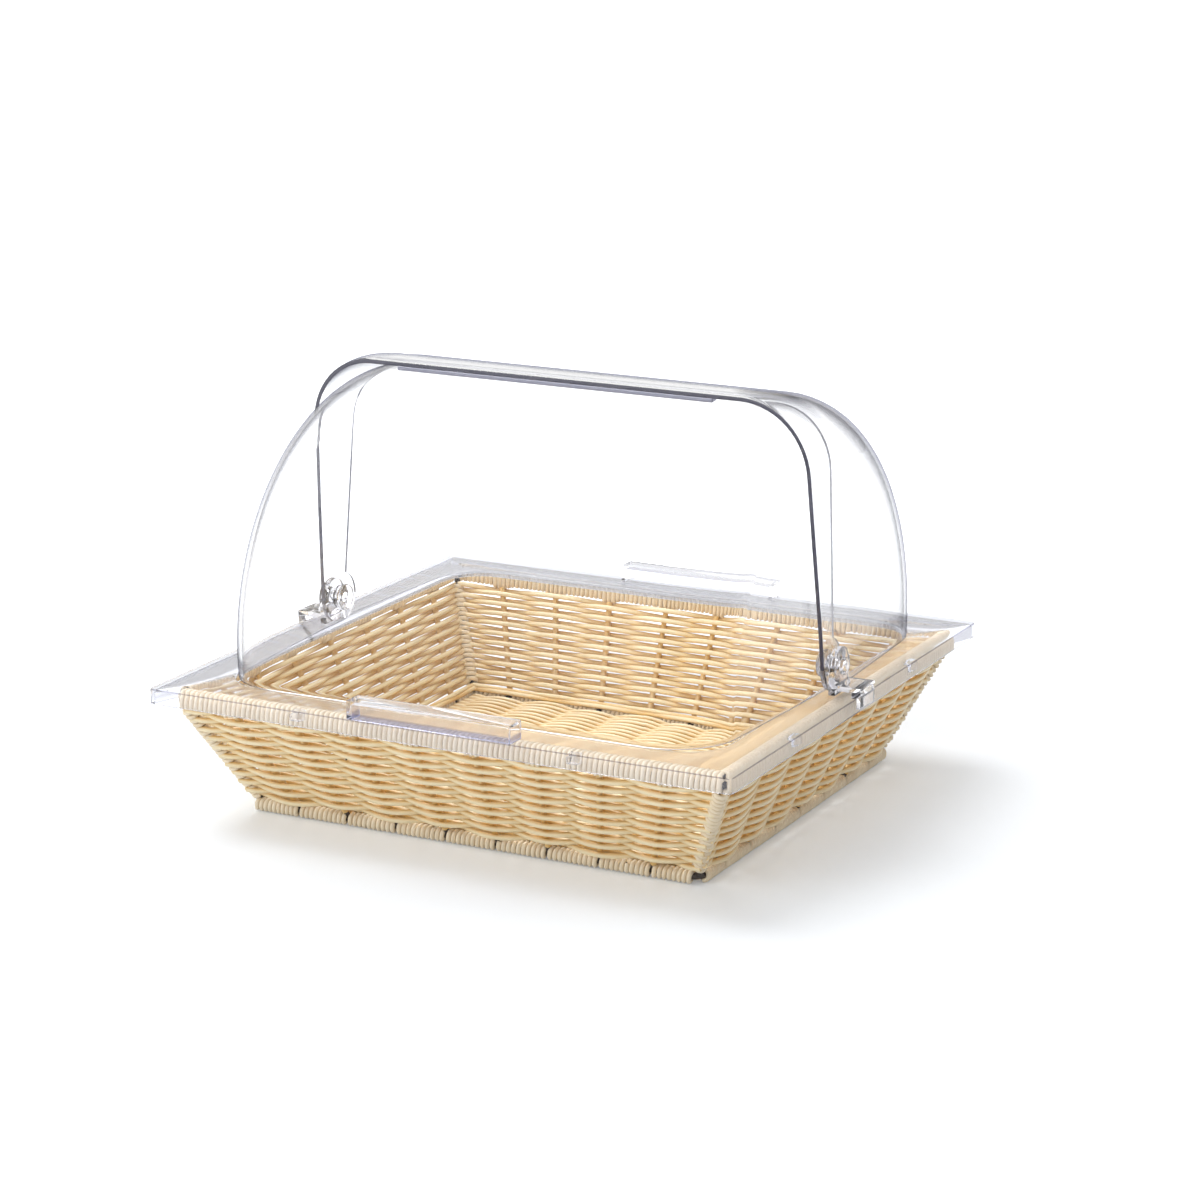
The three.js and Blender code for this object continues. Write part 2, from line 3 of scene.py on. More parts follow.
import bmesh
import bpy
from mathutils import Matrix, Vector


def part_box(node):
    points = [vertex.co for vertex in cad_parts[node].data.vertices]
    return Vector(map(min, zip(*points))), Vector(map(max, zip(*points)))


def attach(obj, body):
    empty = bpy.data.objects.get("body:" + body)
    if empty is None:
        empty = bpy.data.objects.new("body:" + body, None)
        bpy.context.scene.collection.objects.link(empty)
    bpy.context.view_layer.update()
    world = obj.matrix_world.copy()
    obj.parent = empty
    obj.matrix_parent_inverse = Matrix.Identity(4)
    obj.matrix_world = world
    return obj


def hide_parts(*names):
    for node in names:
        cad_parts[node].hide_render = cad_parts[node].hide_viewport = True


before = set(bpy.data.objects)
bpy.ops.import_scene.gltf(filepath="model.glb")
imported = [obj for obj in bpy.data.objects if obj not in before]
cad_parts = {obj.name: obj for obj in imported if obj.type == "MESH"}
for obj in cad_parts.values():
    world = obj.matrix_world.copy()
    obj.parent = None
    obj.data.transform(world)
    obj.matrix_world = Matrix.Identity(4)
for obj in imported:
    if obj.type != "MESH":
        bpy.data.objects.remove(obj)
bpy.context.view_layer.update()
print("stage: frame loaded")

mm = 0.001


# Places taken from the frame
def middle(node):
    low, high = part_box(node)
    return (low + high) / 2


def extent(node):
    low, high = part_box(node)
    return high - low


def ringOf(kind):
    return {
        "x": middle(kind + "_wrap_right").x, "y": middle(kind + "_wrap_back").y,
        "z": middle(kind + "_wrap_front").z,
    }


baseRing = ringOf("base")
rimRing = ringOf("rim")
hingeZ = middle("hinge_spacer_right").z
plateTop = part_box("cover_frame")[1].z

# The four sides of the basket: which way they face, which way they run, and their stakes
sides = {
    "front": {"out": Vector((0, -1, 0)), "along": Vector((1, 0, 0)), "reach": "y", "run": "x", "stakes": 8},
    "back": {"out": Vector((0, 1, 0)), "along": Vector((-1, 0, 0)), "reach": "y", "run": "x", "stakes": 8},
    "left": {"out": Vector((-1, 0, 0)), "along": Vector((0, -1, 0)), "reach": "x", "run": "y", "stakes": 7},
    "right": {"out": Vector((1, 0, 0)), "along": Vector((0, 1, 0)), "reach": "x", "run": "y", "stakes": 7},
}
stakeSpread = 0.8  # the outermost stakes' place, as a share of a side's half length
zAxis = Vector((0, 0, 1))


def ringAt(axis, z):
    share = (z - baseRing["z"]) / (rimRing["z"] - baseRing["z"])
    return baseRing[axis] + share * (rimRing[axis] - baseRing[axis])


# A point on a wall's middle plane
def onWall(side, share, z):
    out = side["out"] * ringAt(side["reach"], z)
    return side["along"] * share * ringAt(side["run"], z) + out + Vector((0, 0, z))


# Node helpers
def plug(tree, value, socket):
    if isinstance(value, bpy.types.NodeSocket):
        tree.links.new(value, socket)
    else:
        socket.default_value = value


def plugAll(tree, node, inputs):
    for key, value in inputs.items():
        plug(tree, value, node.inputs[key])


def addNode(tree, kind, inputs=None, **settings):
    node = tree.nodes.new(kind)
    for key, value in settings.items():
        setattr(node, key, value)
    plugAll(tree, node, inputs or {})
    return node


def calc(tree, operation, *values):
    node = addNode(tree, "ShaderNodeMath", operation=operation)
    for i, value in enumerate(values):
        plug(tree, value, node.inputs[i])
    return node.outputs[0]


def calcVector(tree, operation, *values):
    node = addNode(tree, "ShaderNodeVectorMath", operation=operation)
    for i, value in enumerate(values):
        plug(tree, value, node.inputs["Scale" if operation == "SCALE" and i == 1 else i])
    return node.outputs["Value" if operation in ("DISTANCE", "LENGTH", "DOT_PRODUCT") else "Vector"]


# A value's way from one number to another, as 0 to 1 or as two other numbers
def remap(tree, value, start, end, low=0.0, high=1.0, smooth=False):
    inputs = {"Value": value, "From Min": start, "From Max": end, "To Min": low, "To Max": high}
    kind = "SMOOTHSTEP" if smooth else "LINEAR"
    return addNode(tree, "ShaderNodeMapRange", inputs, interpolation_type=kind).outputs["Result"]


def newTree(name, sockets):
    tree = bpy.data.node_groups.new(name, "GeometryNodeTree")
    for label, kind in sockets.items():
        tree.interface.new_socket(label, in_out="INPUT", socket_type="NodeSocket" + kind)
    tree.interface.new_socket("Geometry", in_out="OUTPUT", socket_type="NodeSocketGeometry")
    given = tree.nodes.new("NodeGroupInput").outputs
    return tree, given


def stored(tree, geometry, name, value):
    inputs = {"Geometry": geometry, "Name": name, "Value": value}
    return addNode(tree, "GeometryNodeStoreNamedAttribute", inputs).outputs[0]


strandForm = {
    "weaveSides": 8, "windingSides": 6,  # faces round a strand
    # weights of the painted shade between rows and behind stakes
    "shadeBetweenRows": 0.45, "shadeBehindStakes": 0.8,  # how sunk a place looks there
    "toneSeed": 10,
}


# Turns points in order into strands, one for each group number. A strand that weaves also gets a painted
# shade mask from how deep each place on it lies in the weave, seen from the side that the place faces.
def strandMesh(tree, given, points, group, tone, profileSides, wave=None):
    points = stored(tree, points, "tone", tone)
    if wave is not None:
        points = stored(tree, points, "wave", wave)
    strands = addNode(tree, "GeometryNodePointsToCurves", {"Points": points, "Curve Group ID": group})
    ring = addNode(tree, "GeometryNodeCurvePrimitiveCircle", {
        "Resolution": profileSides, "Radius": given["Strand Radius"],
    })
    tube = addNode(tree, "GeometryNodeCurveToMesh", {
        "Curve": strands.outputs[0], "Profile Curve": ring.outputs[0], "Fill Caps": True,
    }).outputs[0]
    if wave is not None:
        # painted shade mask: darker where the strand passes behind a stake, seen from that side, and between
        # rows
        normal = tree.nodes.new("GeometryNodeInputNormal").outputs[0]
        facing = calcVector(tree, "DOT_PRODUCT", normal, given["Outward"])
        carried = addNode(tree, "GeometryNodeInputNamedAttribute", {"Name": "wave"}, data_type="FLOAT")
        sunk = calc(tree, "MULTIPLY_ADD", calc(tree, "MULTIPLY", carried.outputs[0], facing), -0.5, 0.5)
        between = calc(tree, "SUBTRACT", 1, calc(tree, "MULTIPLY", facing, facing))
        behind = calc(tree, "MULTIPLY", sunk, strandForm["shadeBehindStakes"])
        paintedShadeMask = calc(tree, "MULTIPLY_ADD", between, strandForm["shadeBetweenRows"], behind)
        tube = stored(tree, tube, "paintedShadeMask", paintedShadeMask)
    smooth = addNode(tree, "GeometryNodeSetShadeSmooth", {"Geometry": tube})
    real = addNode(tree, "GeometryNodeRealizeInstances", {"Geometry": smooth.outputs[0]})
    coated = addNode(tree, "GeometryNodeSetMaterial", {
        "Geometry": real.outputs[0], "Material": given["Material"],
    })
    output = tree.nodes.new("NodeGroupOutput")
    tree.links.new(coated.outputs[0], output.inputs[0])


def centredNoise(tree, place, scale, seed):
    noise = addNode(tree, "ShaderNodeTexNoise", {
        "Vector": place, "W": seed, "Scale": scale, "Detail": 1.0,
    }, noise_dimensions="4D")
    return calcVector(tree, "SUBTRACT", noise.outputs["Color"], (0.5, 0.5, 0.5))


def randomTone(tree, given, number):
    chance = addNode(tree, "FunctionNodeRandomValue", {"ID": number}, data_type="FLOAT")
    plug(tree, calc(tree, "MULTIPLY", given["Seed"], strandForm["toneSeed"]), chance.inputs["Seed"])
    return chance.outputs[1]


weaveForm = {
    "endFrom": 0.93,  # the share of the half length from which the swing runs out
    "slowScale": 13.0, "quickScale": 48.0, "quickShare": 0.4, "rowSeed": 3.7,  # of the wander
}


# Strands that pass in front of and behind the stakes in turn, row by row
def buildWeaveTree():
    tree, given = newTree("wovenPanel", {
        "Low Start": "Vector", "Low End": "Vector", "High Start": "Vector", "High End": "Vector",
        "Outward": "Vector", "Rows": "Int", "Samples": "Int", "Stakes": "Int", "Stake Spread": "Float",
        "Swing": "Float", "Strand Radius": "Float", "Wander": "Float", "End Swing": "Float", "Seed": "Float",
        "Material": "Material",
    })
    count = calc(tree, "MULTIPLY", given["Rows"], given["Samples"])
    points = addNode(tree, "GeometryNodePoints", {"Count": count})
    index = tree.nodes.new("GeometryNodeInputIndex").outputs[0]
    row = calc(tree, "FLOOR", calc(tree, "DIVIDE", calc(tree, "ADD", index, 0.5), given["Samples"]))
    column = calc(tree, "SUBTRACT", index, calc(tree, "MULTIPLY", row, given["Samples"]))
    rise = calc(tree, "DIVIDE", calc(tree, "ADD", row, 0.5), given["Rows"])
    along = calc(tree, "DIVIDE", column, calc(tree, "SUBTRACT", given["Samples"], 1))

    def between(a, b, share):
        way = calcVector(tree, "SUBTRACT", b, a)
        return calcVector(tree, "ADD", a, calcVector(tree, "SCALE", way, share))

    start = between(given["Low Start"], given["High Start"], rise)
    end = between(given["Low End"], given["High End"], rise)
    flat = between(start, end, along)
    share = calc(tree, "MULTIPLY_ADD", along, 2, -1)
    stake = calc(tree, "ADD", calc(tree, "DIVIDE", share, given["Stake Spread"]), 1)
    stake = calc(tree, "MULTIPLY", stake, calc(tree, "DIVIDE", calc(tree, "SUBTRACT", given["Stakes"], 1), 2))
    wave = calc(tree, "COSINE", calc(tree, "MULTIPLY", calc(tree, "ADD", stake, row), math.pi))
    outmost = calc(tree, "ABSOLUTE", share)
    nearEnd = remap(tree, outmost, weaveForm["endFrom"], 1.0, 1.0, given["End Swing"], smooth=True)
    swing = calc(tree, "MULTIPLY", calc(tree, "MULTIPLY", wave, nearEnd), given["Swing"])
    woven = calcVector(tree, "ADD", flat, calcVector(tree, "SCALE", given["Outward"], swing))
    rowSeed = calc(tree, "MULTIPLY_ADD", row, weaveForm["rowSeed"], given["Seed"])
    slow = centredNoise(tree, flat, weaveForm["slowScale"], rowSeed)
    quick = centredNoise(tree, flat, weaveForm["quickScale"], rowSeed)
    quick = calcVector(tree, "SCALE", quick, weaveForm["quickShare"])
    shake = calcVector(tree, "SCALE", calcVector(tree, "ADD", slow, quick), given["Wander"])
    placed = addNode(tree, "GeometryNodeSetPosition", {
        "Geometry": points.outputs[0], "Position": calcVector(tree, "ADD", woven, shake),
    })
    tone = randomTone(tree, given, row)
    strandMesh(tree, given, placed.outputs[0], row, tone, strandForm["weaveSides"], wave)
    return tree


windingForm = {
    "stakeNear": 3.5 * mm, "stakeFar": 7 * mm,  # the drop is whole to the one and over at the other
    "wanderScale": 90.0,
    "bundleSpacing": 400,  # more turns than a bundle has
}


# Strand wound round a bar in bundles, with a gap between two bundles where a stake stands.
# Where there is a drop, the turns at a stake also hang lower.
def buildWindingTree():
    tree, given = newTree("winding", {
        "Start": "Vector", "End": "Vector", "Outward": "Vector", "Half Out": "Float", "Half Up": "Float",
        "Bundles": "Int", "First Edge": "Float", "Edge Step": "Float", "Gap": "Float", "Pitch": "Float",
        "Steps": "Int", "Squareness": "Float", "Strand Radius": "Float", "First Stake": "Float",
        "Stake Step": "Float", "Drop": "Float", "Wander": "Float", "Seed": "Float", "Material": "Material",
    })
    length = calcVector(tree, "DISTANCE", given["End"], given["Start"])
    axis = calcVector(tree, "NORMALIZE", calcVector(tree, "SUBTRACT", given["End"], given["Start"]))
    up = calcVector(tree, "CROSS_PRODUCT", given["Outward"], axis)
    halfGap = calc(tree, "MULTIPLY", given["Gap"], 0.5)

    # bundles have their edges at the stakes, but for the two ends of the bar
    def edge(number):
        before = calc(tree, "SUBTRACT", number, 1)
        place = calc(tree, "MULTIPLY_ADD", before, given["Edge Step"], given["First Edge"])
        place = calc(tree, "MINIMUM", place, calc(tree, "ADD", length, halfGap))
        return calc(tree, "MAXIMUM", place, calc(tree, "MULTIPLY", halfGap, -1))

    longest = calc(tree, "MAXIMUM", given["Edge Step"], given["First Edge"])
    room = calc(tree, "ADD", calc(tree, "CEIL", calc(tree, "DIVIDE", longest, given["Pitch"])), 1)
    perBundle = calc(tree, "ADD", calc(tree, "MULTIPLY", room, given["Steps"]), 1)
    count = calc(tree, "MULTIPLY", perBundle, given["Bundles"])
    points = addNode(tree, "GeometryNodePoints", {"Count": count})
    index = tree.nodes.new("GeometryNodeInputIndex").outputs[0]
    bundle = calc(tree, "FLOOR", calc(tree, "DIVIDE", calc(tree, "ADD", index, 0.5), perBundle))
    inBundle = calc(tree, "SUBTRACT", index, calc(tree, "MULTIPLY", bundle, perBundle))
    low = calc(tree, "ADD", edge(bundle), halfGap)
    high = calc(tree, "SUBTRACT", edge(calc(tree, "ADD", bundle, 1)), halfGap)
    low = calc(tree, "ADD", low, given["Strand Radius"])
    span = calc(tree, "SUBTRACT", calc(tree, "SUBTRACT", high, given["Strand Radius"]), low)
    # half a turn more than whole turns, so that a bundle starts at the bottom and ends at the top
    turns = calc(tree, "SUBTRACT", calc(tree, "DIVIDE", span, given["Pitch"]), 0.5)
    turns = calc(tree, "ADD", calc(tree, "MAXIMUM", calc(tree, "ROUND", turns), 1), 0.5)
    last = calc(tree, "MULTIPLY", turns, given["Steps"])
    turn = calc(tree, "DIVIDE", inBundle, given["Steps"])
    angle = calc(tree, "MULTIPLY_ADD", turn, 2 * math.pi, -0.5 * math.pi)
    travel = calc(tree, "MULTIPLY_ADD", calc(tree, "DIVIDE", inBundle, last), span, low)

    def squared(value):
        size = calc(tree, "POWER", calc(tree, "ABSOLUTE", value), given["Squareness"])
        return calc(tree, "MULTIPLY", calc(tree, "SIGN", value), size)

    stake = calc(tree, "DIVIDE", calc(tree, "SUBTRACT", travel, given["First Stake"]), given["Stake Step"])
    away = calc(tree, "ABSOLUTE", calc(tree, "SUBTRACT", stake, calc(tree, "ROUND", stake)))
    away = calc(tree, "MULTIPLY", away, given["Stake Step"])
    atStake = remap(tree, away, windingForm["stakeNear"], windingForm["stakeFar"], 1.0, 0.0, smooth=True)
    sine = squared(calc(tree, "SINE", angle))
    below = calc(tree, "MAXIMUM", calc(tree, "MULTIPLY", sine, -1), 0)
    drop = calc(tree, "MULTIPLY", calc(tree, "MULTIPLY", given["Drop"], atStake), below)
    upward = calc(tree, "SUBTRACT", calc(tree, "MULTIPLY", sine, given["Half Up"]), drop)
    outward = calc(tree, "MULTIPLY", squared(calc(tree, "COSINE", angle)), given["Half Out"])
    place = calcVector(tree, "ADD", given["Start"], calcVector(tree, "SCALE", axis, travel))
    place = calcVector(tree, "ADD", place, calcVector(tree, "SCALE", given["Outward"], outward))
    place = calcVector(tree, "ADD", place, calcVector(tree, "SCALE", up, upward))
    shake = centredNoise(tree, place, windingForm["wanderScale"], given["Seed"])
    shake = calcVector(tree, "SCALE", shake, given["Wander"])
    placed = addNode(tree, "GeometryNodeSetPosition", {
        "Geometry": points.outputs[0], "Position": calcVector(tree, "ADD", place, shake),
    })
    spare = addNode(tree, "FunctionNodeCompare", {0: inBundle}, data_type="FLOAT", operation="GREATER_THAN")
    plug(tree, calc(tree, "ADD", last, 0.5), spare.inputs[1])
    kept = addNode(tree, "GeometryNodeDeleteGeometry", {
        "Geometry": placed.outputs[0], "Selection": spare.outputs[0],
    }, domain="POINT")
    number = calc(tree, "MULTIPLY_ADD", bundle, windingForm["bundleSpacing"], calc(tree, "FLOOR", turn))
    tone = randomTone(tree, given, number)
    strandMesh(tree, given, kept.outputs[0], bundle, tone, strandForm["windingSides"])
    return tree


def added(name, data):
    thing = bpy.data.objects.new(name, data)
    bpy.context.scene.collection.objects.link(thing)
    return thing


def coat(mesh, materials):
    mesh.materials.clear()
    for material in materials:
        mesh.materials.append(material)


# A piece's mesh with its modifiers worked in
def settledMesh(piece):
    piece.update_tag()
    depsgraph = bpy.context.evaluated_depsgraph_get()
    depsgraph.update()
    return bpy.data.meshes.new_from_object(
        piece.evaluated_get(depsgraph), preserve_all_data_layers=True, depsgraph=depsgraph,
    )


# Runs a node tree with these inputs and returns its result as a plain mesh object
def grown(name, tree, values):
    holder = added(name + "_holder", bpy.data.meshes.new(name + "_holder"))
    modifier = holder.modifiers.new("grow", "NODES")
    modifier.node_group = tree
    for item in tree.interface.items_tree:
        if item.in_out == "INPUT":
            modifier[item.identifier] = values[item.name]
    mesh = settledMesh(holder)
    bpy.data.objects.remove(holder)
    mesh.name = name
    return added(name, mesh)


# Shader groups
def newShaderGroup(name, inputs, outputs):
    tree = bpy.data.node_groups.new(name, "ShaderNodeTree")
    for label, kind in inputs.items():
        tree.interface.new_socket(label, in_out="INPUT", socket_type="NodeSocket" + kind)
    for label, kind in outputs.items():
        tree.interface.new_socket(label, in_out="OUTPUT", socket_type="NodeSocket" + kind)
    return tree, tree.nodes.new("NodeGroupInput").outputs, tree.nodes.new("NodeGroupOutput").inputs


def mixColour(tree, factor, a, b):
    return addNode(tree, "ShaderNodeMix", {0: factor, 6: a, 7: b}, data_type="RGBA").outputs[2]


def objectNoise(tree, scale, detail=2.0):
    place = tree.nodes.new("ShaderNodeTexCoord").outputs["Object"]
    noise = addNode(tree, "ShaderNodeTexNoise", {"Vector": place, "Scale": scale, "Detail": detail})
    return noise.outputs["Fac"]


caneForm = {
    "patchScale": 28.0, "patchFrom": 0.3, "patchHeight": 0.4,
    "fleckScale": 900.0, "fleckDetail": 3.0, "fleckShare": 0.25, "fleckGloss": 0.22,
    "paintedShadeFrom": 0.28, "paintedShadeTo": 0.95, "bump": 0.25, "bumpDistance": 0.3 * mm,
}


# Cane: each strand has its own tone, with slow patches and fine flecks, and painted warm shade deep in the
# weave
def buildCaneGroup():
    tree, given, out = newShaderGroup(
        "caneSurface",
        {
            "Pale": "Color", "Deep": "Color", "Painted Shade": "Color", "Strand Share": "Float",
            "Patch Share": "Float", "Painted Shade Share": "Float", "Gloss": "Float",
        },
        {"Colour": "Color", "Roughness": "Float", "Height": "Float"},
    )
    strand = addNode(tree, "ShaderNodeAttribute", attribute_name="tone").outputs["Fac"]
    paintedShadeMask = addNode(tree, "ShaderNodeAttribute", attribute_name="paintedShadeMask").outputs["Fac"]
    patches = objectNoise(tree, caneForm["patchScale"])
    flecks = objectNoise(tree, caneForm["fleckScale"], caneForm["fleckDetail"])
    byStrand = calc(tree, "MULTIPLY", strand, given["Strand Share"])
    byPatch = calc(tree, "SUBTRACT", patches, caneForm["patchFrom"])
    byPatch = calc(tree, "MULTIPLY", byPatch, given["Patch Share"])
    byFleck = calc(tree, "MULTIPLY", calc(tree, "SUBTRACT", flecks, 0.5), caneForm["fleckShare"])
    mask = addNode(tree, "ShaderNodeClamp", {
        "Value": calc(tree, "ADD", calc(tree, "ADD", byStrand, byPatch), byFleck),
    }).outputs[0]
    colour = mixColour(tree, mask, given["Pale"], given["Deep"])
    # painted shade: the warm, darker colour mixed in where the strand lies deep in the weave
    glow = remap(tree, paintedShadeMask, caneForm["paintedShadeFrom"], caneForm["paintedShadeTo"])
    colour = mixColour(tree, calc(tree, "MULTIPLY", glow, given["Painted Shade Share"]), colour, given["Painted Shade"])
    plug(tree, colour, out["Colour"])
    roughness = calc(tree, "ADD", given["Gloss"], calc(tree, "MULTIPLY", flecks, caneForm["fleckGloss"]))
    plug(tree, roughness, out["Roughness"])
    height = calc(tree, "ADD", flecks, calc(tree, "MULTIPLY", patches, caneForm["patchHeight"]))
    plug(tree, height, out["Height"])
    return tree


mouldedForm = {"markScale": 14.0, "markDetail": 3.0, "waveScale": 9.0, "waveDetail": 1.0}


# Clear moulding: a faint haze and a very slow waviness
def buildMouldedGroup():
    tree, given, out = newShaderGroup(
        "mouldedSurface", {"Gloss": "Float", "Haze": "Float"}, {"Roughness": "Float", "Height": "Float"},
    )
    marks = objectNoise(tree, mouldedForm["markScale"], mouldedForm["markDetail"])
    roughness = calc(tree, "ADD", given["Gloss"], calc(tree, "MULTIPLY", marks, given["Haze"]))
    plug(tree, roughness, out["Roughness"])
    plug(tree, objectNoise(tree, mouldedForm["waveScale"], mouldedForm["waveDetail"]), out["Height"])
    return tree


def startMaterial(name):
    material = bpy.data.materials.new(name)
    material.use_nodes = True
    tree = material.node_tree
    tree.nodes.clear()
    surface = tree.nodes.new("ShaderNodeBsdfPrincipled")
    output = tree.nodes.new("ShaderNodeOutputMaterial")
    tree.links.new(surface.outputs[0], output.inputs["Surface"])
    return material, tree, surface, output


def useGroup(tree, group, inputs):
    return addNode(tree, "ShaderNodeGroup", inputs, node_tree=group).outputs


def bumpFrom(tree, height, strength, distance):
    bump = addNode(tree, "ShaderNodeBump", {"Height": height, "Strength": strength, "Distance": distance})
    return bump.outputs[0]


def caneMaterial(name, look):
    material, tree, surface, _ = startMaterial(name)
    cane = useGroup(tree, caneGroup, {
        "Pale": (*look["pale"], 1), "Deep": (*look["deep"], 1), "Painted Shade": (*look["glow"], 1),
        "Strand Share": look["strandShare"], "Patch Share": look["patchShare"],
        "Painted Shade Share": look["paintedShadeShare"], "Gloss": look["gloss"],
    })
    plugAll(tree, surface, {
        "Base Color": cane["Colour"], "Roughness": cane["Roughness"], "Specular IOR Level": look["shine"],
        "Normal": bumpFrom(tree, cane["Height"], caneForm["bump"], caneForm["bumpDistance"]),
    })
    return material


clearForm = {"waveDistance": 1 * mm, "bandFade": 0.4 * mm, "sideFrom": 108 * mm, "sideTo": 128 * mm}


# Polycarbonate. It lets shadow rays through, so that the basket inside is lit, and greys where it is seen
# edge on, as a thick wall does. A hood's tight side fillets grey sooner than its wide crown.
def clearMaterial(name, look):
    material, tree, surface, output = startMaterial(name)
    place = addNode(tree, "ShaderNodeSeparateXYZ", {
        "Vector": tree.nodes.new("ShaderNodeTexCoord").outputs["Object"],
    }).outputs
    tint = (*look["tint"], 1)
    # painted edge shade: below bandTop the tint turns a dark blue-lilac, as a clear wall's edge looks
    if "lowEdgeShade" in look:
        edgeShade = remap(tree, place["Z"], look["bandTop"], look["bandTop"] + clearForm["bandFade"], 1.0, 0.0)
        tint = mixColour(tree, edgeShade, tint, (*look["lowEdgeShade"], 1))
    moulded = useGroup(tree, mouldedGroup, {"Gloss": look["gloss"], "Haze": look["haze"]})
    plugAll(tree, surface, {
        "Base Color": tint, "Roughness": moulded["Roughness"], "Transmission Weight": look["clear"],
        "IOR": look["ior"], "Specular IOR Level": look["shine"],
        "Normal": bumpFrom(tree, moulded["Height"], look["wave"], clearForm["waveDistance"]),
    })
    edgeFrom = look["edgeFrom"]
    if "sideEdgeFrom" in look:
        sideways = calc(tree, "ABSOLUTE", place["X"])
        edgeFrom = remap(
            tree, sideways, clearForm["sideFrom"], clearForm["sideTo"], edgeFrom, look["sideEdgeFrom"],
        )
    facing = addNode(tree, "ShaderNodeLayerWeight", {"Blend": 0.5}).outputs["Facing"]
    edgeOn = remap(tree, facing, edgeFrom, 1.0, 0.0, look["edgeShare"], smooth=True)
    grey = addNode(tree, "ShaderNodeBsdfTransparent", {"Color": (*look["edge"], 1)}).outputs[0]
    walled = addNode(tree, "ShaderNodeMixShader", {0: edgeOn, 1: surface.outputs[0], 2: grey}).outputs[0]
    through = addNode(tree, "ShaderNodeBsdfTransparent", {"Color": (*look["shade"], 1)}).outputs[0]
    shadow = tree.nodes.new("ShaderNodeLightPath").outputs["Is Shadow Ray"]
    mixed = addNode(tree, "ShaderNodeMixShader", {0: shadow, 1: walled, 2: through}).outputs[0]
    plug(tree, mixed, output.inputs["Surface"])
    return material


darkForm = {"streakScale": 40.0, "streakColour": (0.42, 0.41, 0.50)}


# The leading edge's cut face and its grip strip, whose light stays in the wall, so they look dark
def darkMaterial(name, look):
    material, tree, surface, _ = startMaterial(name)
    streaks = calc(tree, "MULTIPLY", objectNoise(tree, darkForm["streakScale"]), look["streaks"])
    colour = mixColour(tree, streaks, (*look["colour"], 1), (*darkForm["streakColour"], 1))
    plugAll(tree, surface, {"Base Color": colour, "Roughness": look["roughness"]})
    return material


wireLook = {
    "lacquer": (0.045, 0.033, 0.026), "bare": (0.32, 0.29, 0.26), "wearFrom": 0.58, "wearTo": 0.66,
    "noiseScale": 160.0, "noiseDetail": 4.0, "gloss": 0.25, "glossShare": 0.3, "bump": 0.2,
    "bumpDistance": 0.2 * mm,
}


# Dark lacquered wire, worn to bare steel in places
def wireMaterial(name, look):
    material, tree, surface, _ = startMaterial(name)
    noise = objectNoise(tree, look["noiseScale"], look["noiseDetail"])
    worn = remap(tree, noise, look["wearFrom"], look["wearTo"])
    plugAll(tree, surface, {
        "Base Color": mixColour(tree, worn, (*look["lacquer"], 1), (*look["bare"], 1)), "Metallic": worn,
        "Roughness": calc(tree, "MULTIPLY_ADD", noise, look["glossShare"], look["gloss"]),
        "Normal": bumpFrom(tree, noise, look["bump"], look["bumpDistance"]),
    })
    return material


caneGroup = buildCaneGroup()
mouldedGroup = buildMouldedGroup()
# glow is a painted warm shade colour for places deep in the weave
weaveCane = caneMaterial("woven_cane", {
    "pale": (0.93, 0.80, 0.54), "deep": (0.84, 0.65, 0.35), "glow": (0.76, 0.46, 0.13), "strandShare": 0.35,
    "patchShare": 0.35, "paintedShadeShare": 0.9, "gloss": 0.26, "shine": 0.5,
})
wrapCane = caneMaterial("wound_cane", {
    "pale": (0.93, 0.80, 0.60), "deep": (0.83, 0.65, 0.42), "glow": (0.68, 0.44, 0.18), "strandShare": 0.30,
    "patchShare": 0.3, "paintedShadeShare": 0.0, "gloss": 0.34, "shine": 0.4,
})
clearHood = clearMaterial("clear_hood", {
    "tint": (0.985, 0.985, 0.99), "shade": (0.88, 0.88, 0.88), "edge": (0.46, 0.46, 0.50), "edgeFrom": 0.8,
    "sideEdgeFrom": 0.48, "edgeShare": 1.0, "ior": 1.22, "shine": 0.25, "gloss": 0.0, "haze": 0.0,
    "wave": 0.03, "clear": 1.0,
})
clearPlate = clearMaterial("clear_plate", {
    "tint": (0.96, 0.962, 0.985), "shade": (0.96, 0.96, 0.97), "edge": (0.56, 0.56, 0.62), "edgeFrom": 0.88,
    "edgeShare": 0.6, "ior": 1.12, "shine": 0.8, "gloss": 0.10, "haze": 0.08, "wave": 0.05, "clear": 0.96,
})
clearSkirt = clearMaterial("clear_skirt", {
    "tint": (0.80, 0.81, 0.87), "shade": (0.9, 0.9, 0.91), "edge": (0.42, 0.42, 0.50), "edgeFrom": 0.74,
    "edgeShare": 0.7, "ior": 1.1, "shine": 0.8, "gloss": 0.05, "haze": 0.08, "wave": 0.1, "clear": 0.88,
})
railLook = {
    "tint": (0.93, 0.93, 0.96), "shade": (0.9, 0.9, 0.93), "edge": (0.36, 0.36, 0.43), "edgeFrom": 0.72,
    "edgeShare": 0.8, "ior": 1.25, "shine": 0.6, "gloss": 0.02, "haze": 0.05, "wave": 0.05, "clear": 1.0,
}
clearRail = clearMaterial("clear_rail", railLook)
clearFitting = clearMaterial("clear_fitting", {
    "tint": (0.95, 0.945, 0.965), "shade": (0.9, 0.9, 0.91), "edge": (0.40, 0.40, 0.47), "edgeFrom": 0.75,
    "edgeShare": 0.7, "ior": 1.42, "shine": 0.5, "gloss": 0.02, "haze": 0.05, "wave": 0.05, "clear": 1.0,
})
# the front rail's lower part carries a painted dark edge shade
edgeShadedRail = clearMaterial("clear_rail_painted_edge_shade", {
    **railLook, "lowEdgeShade": (0.55, 0.57, 0.76), "bandTop": plateTop + 3.4 * mm,
})
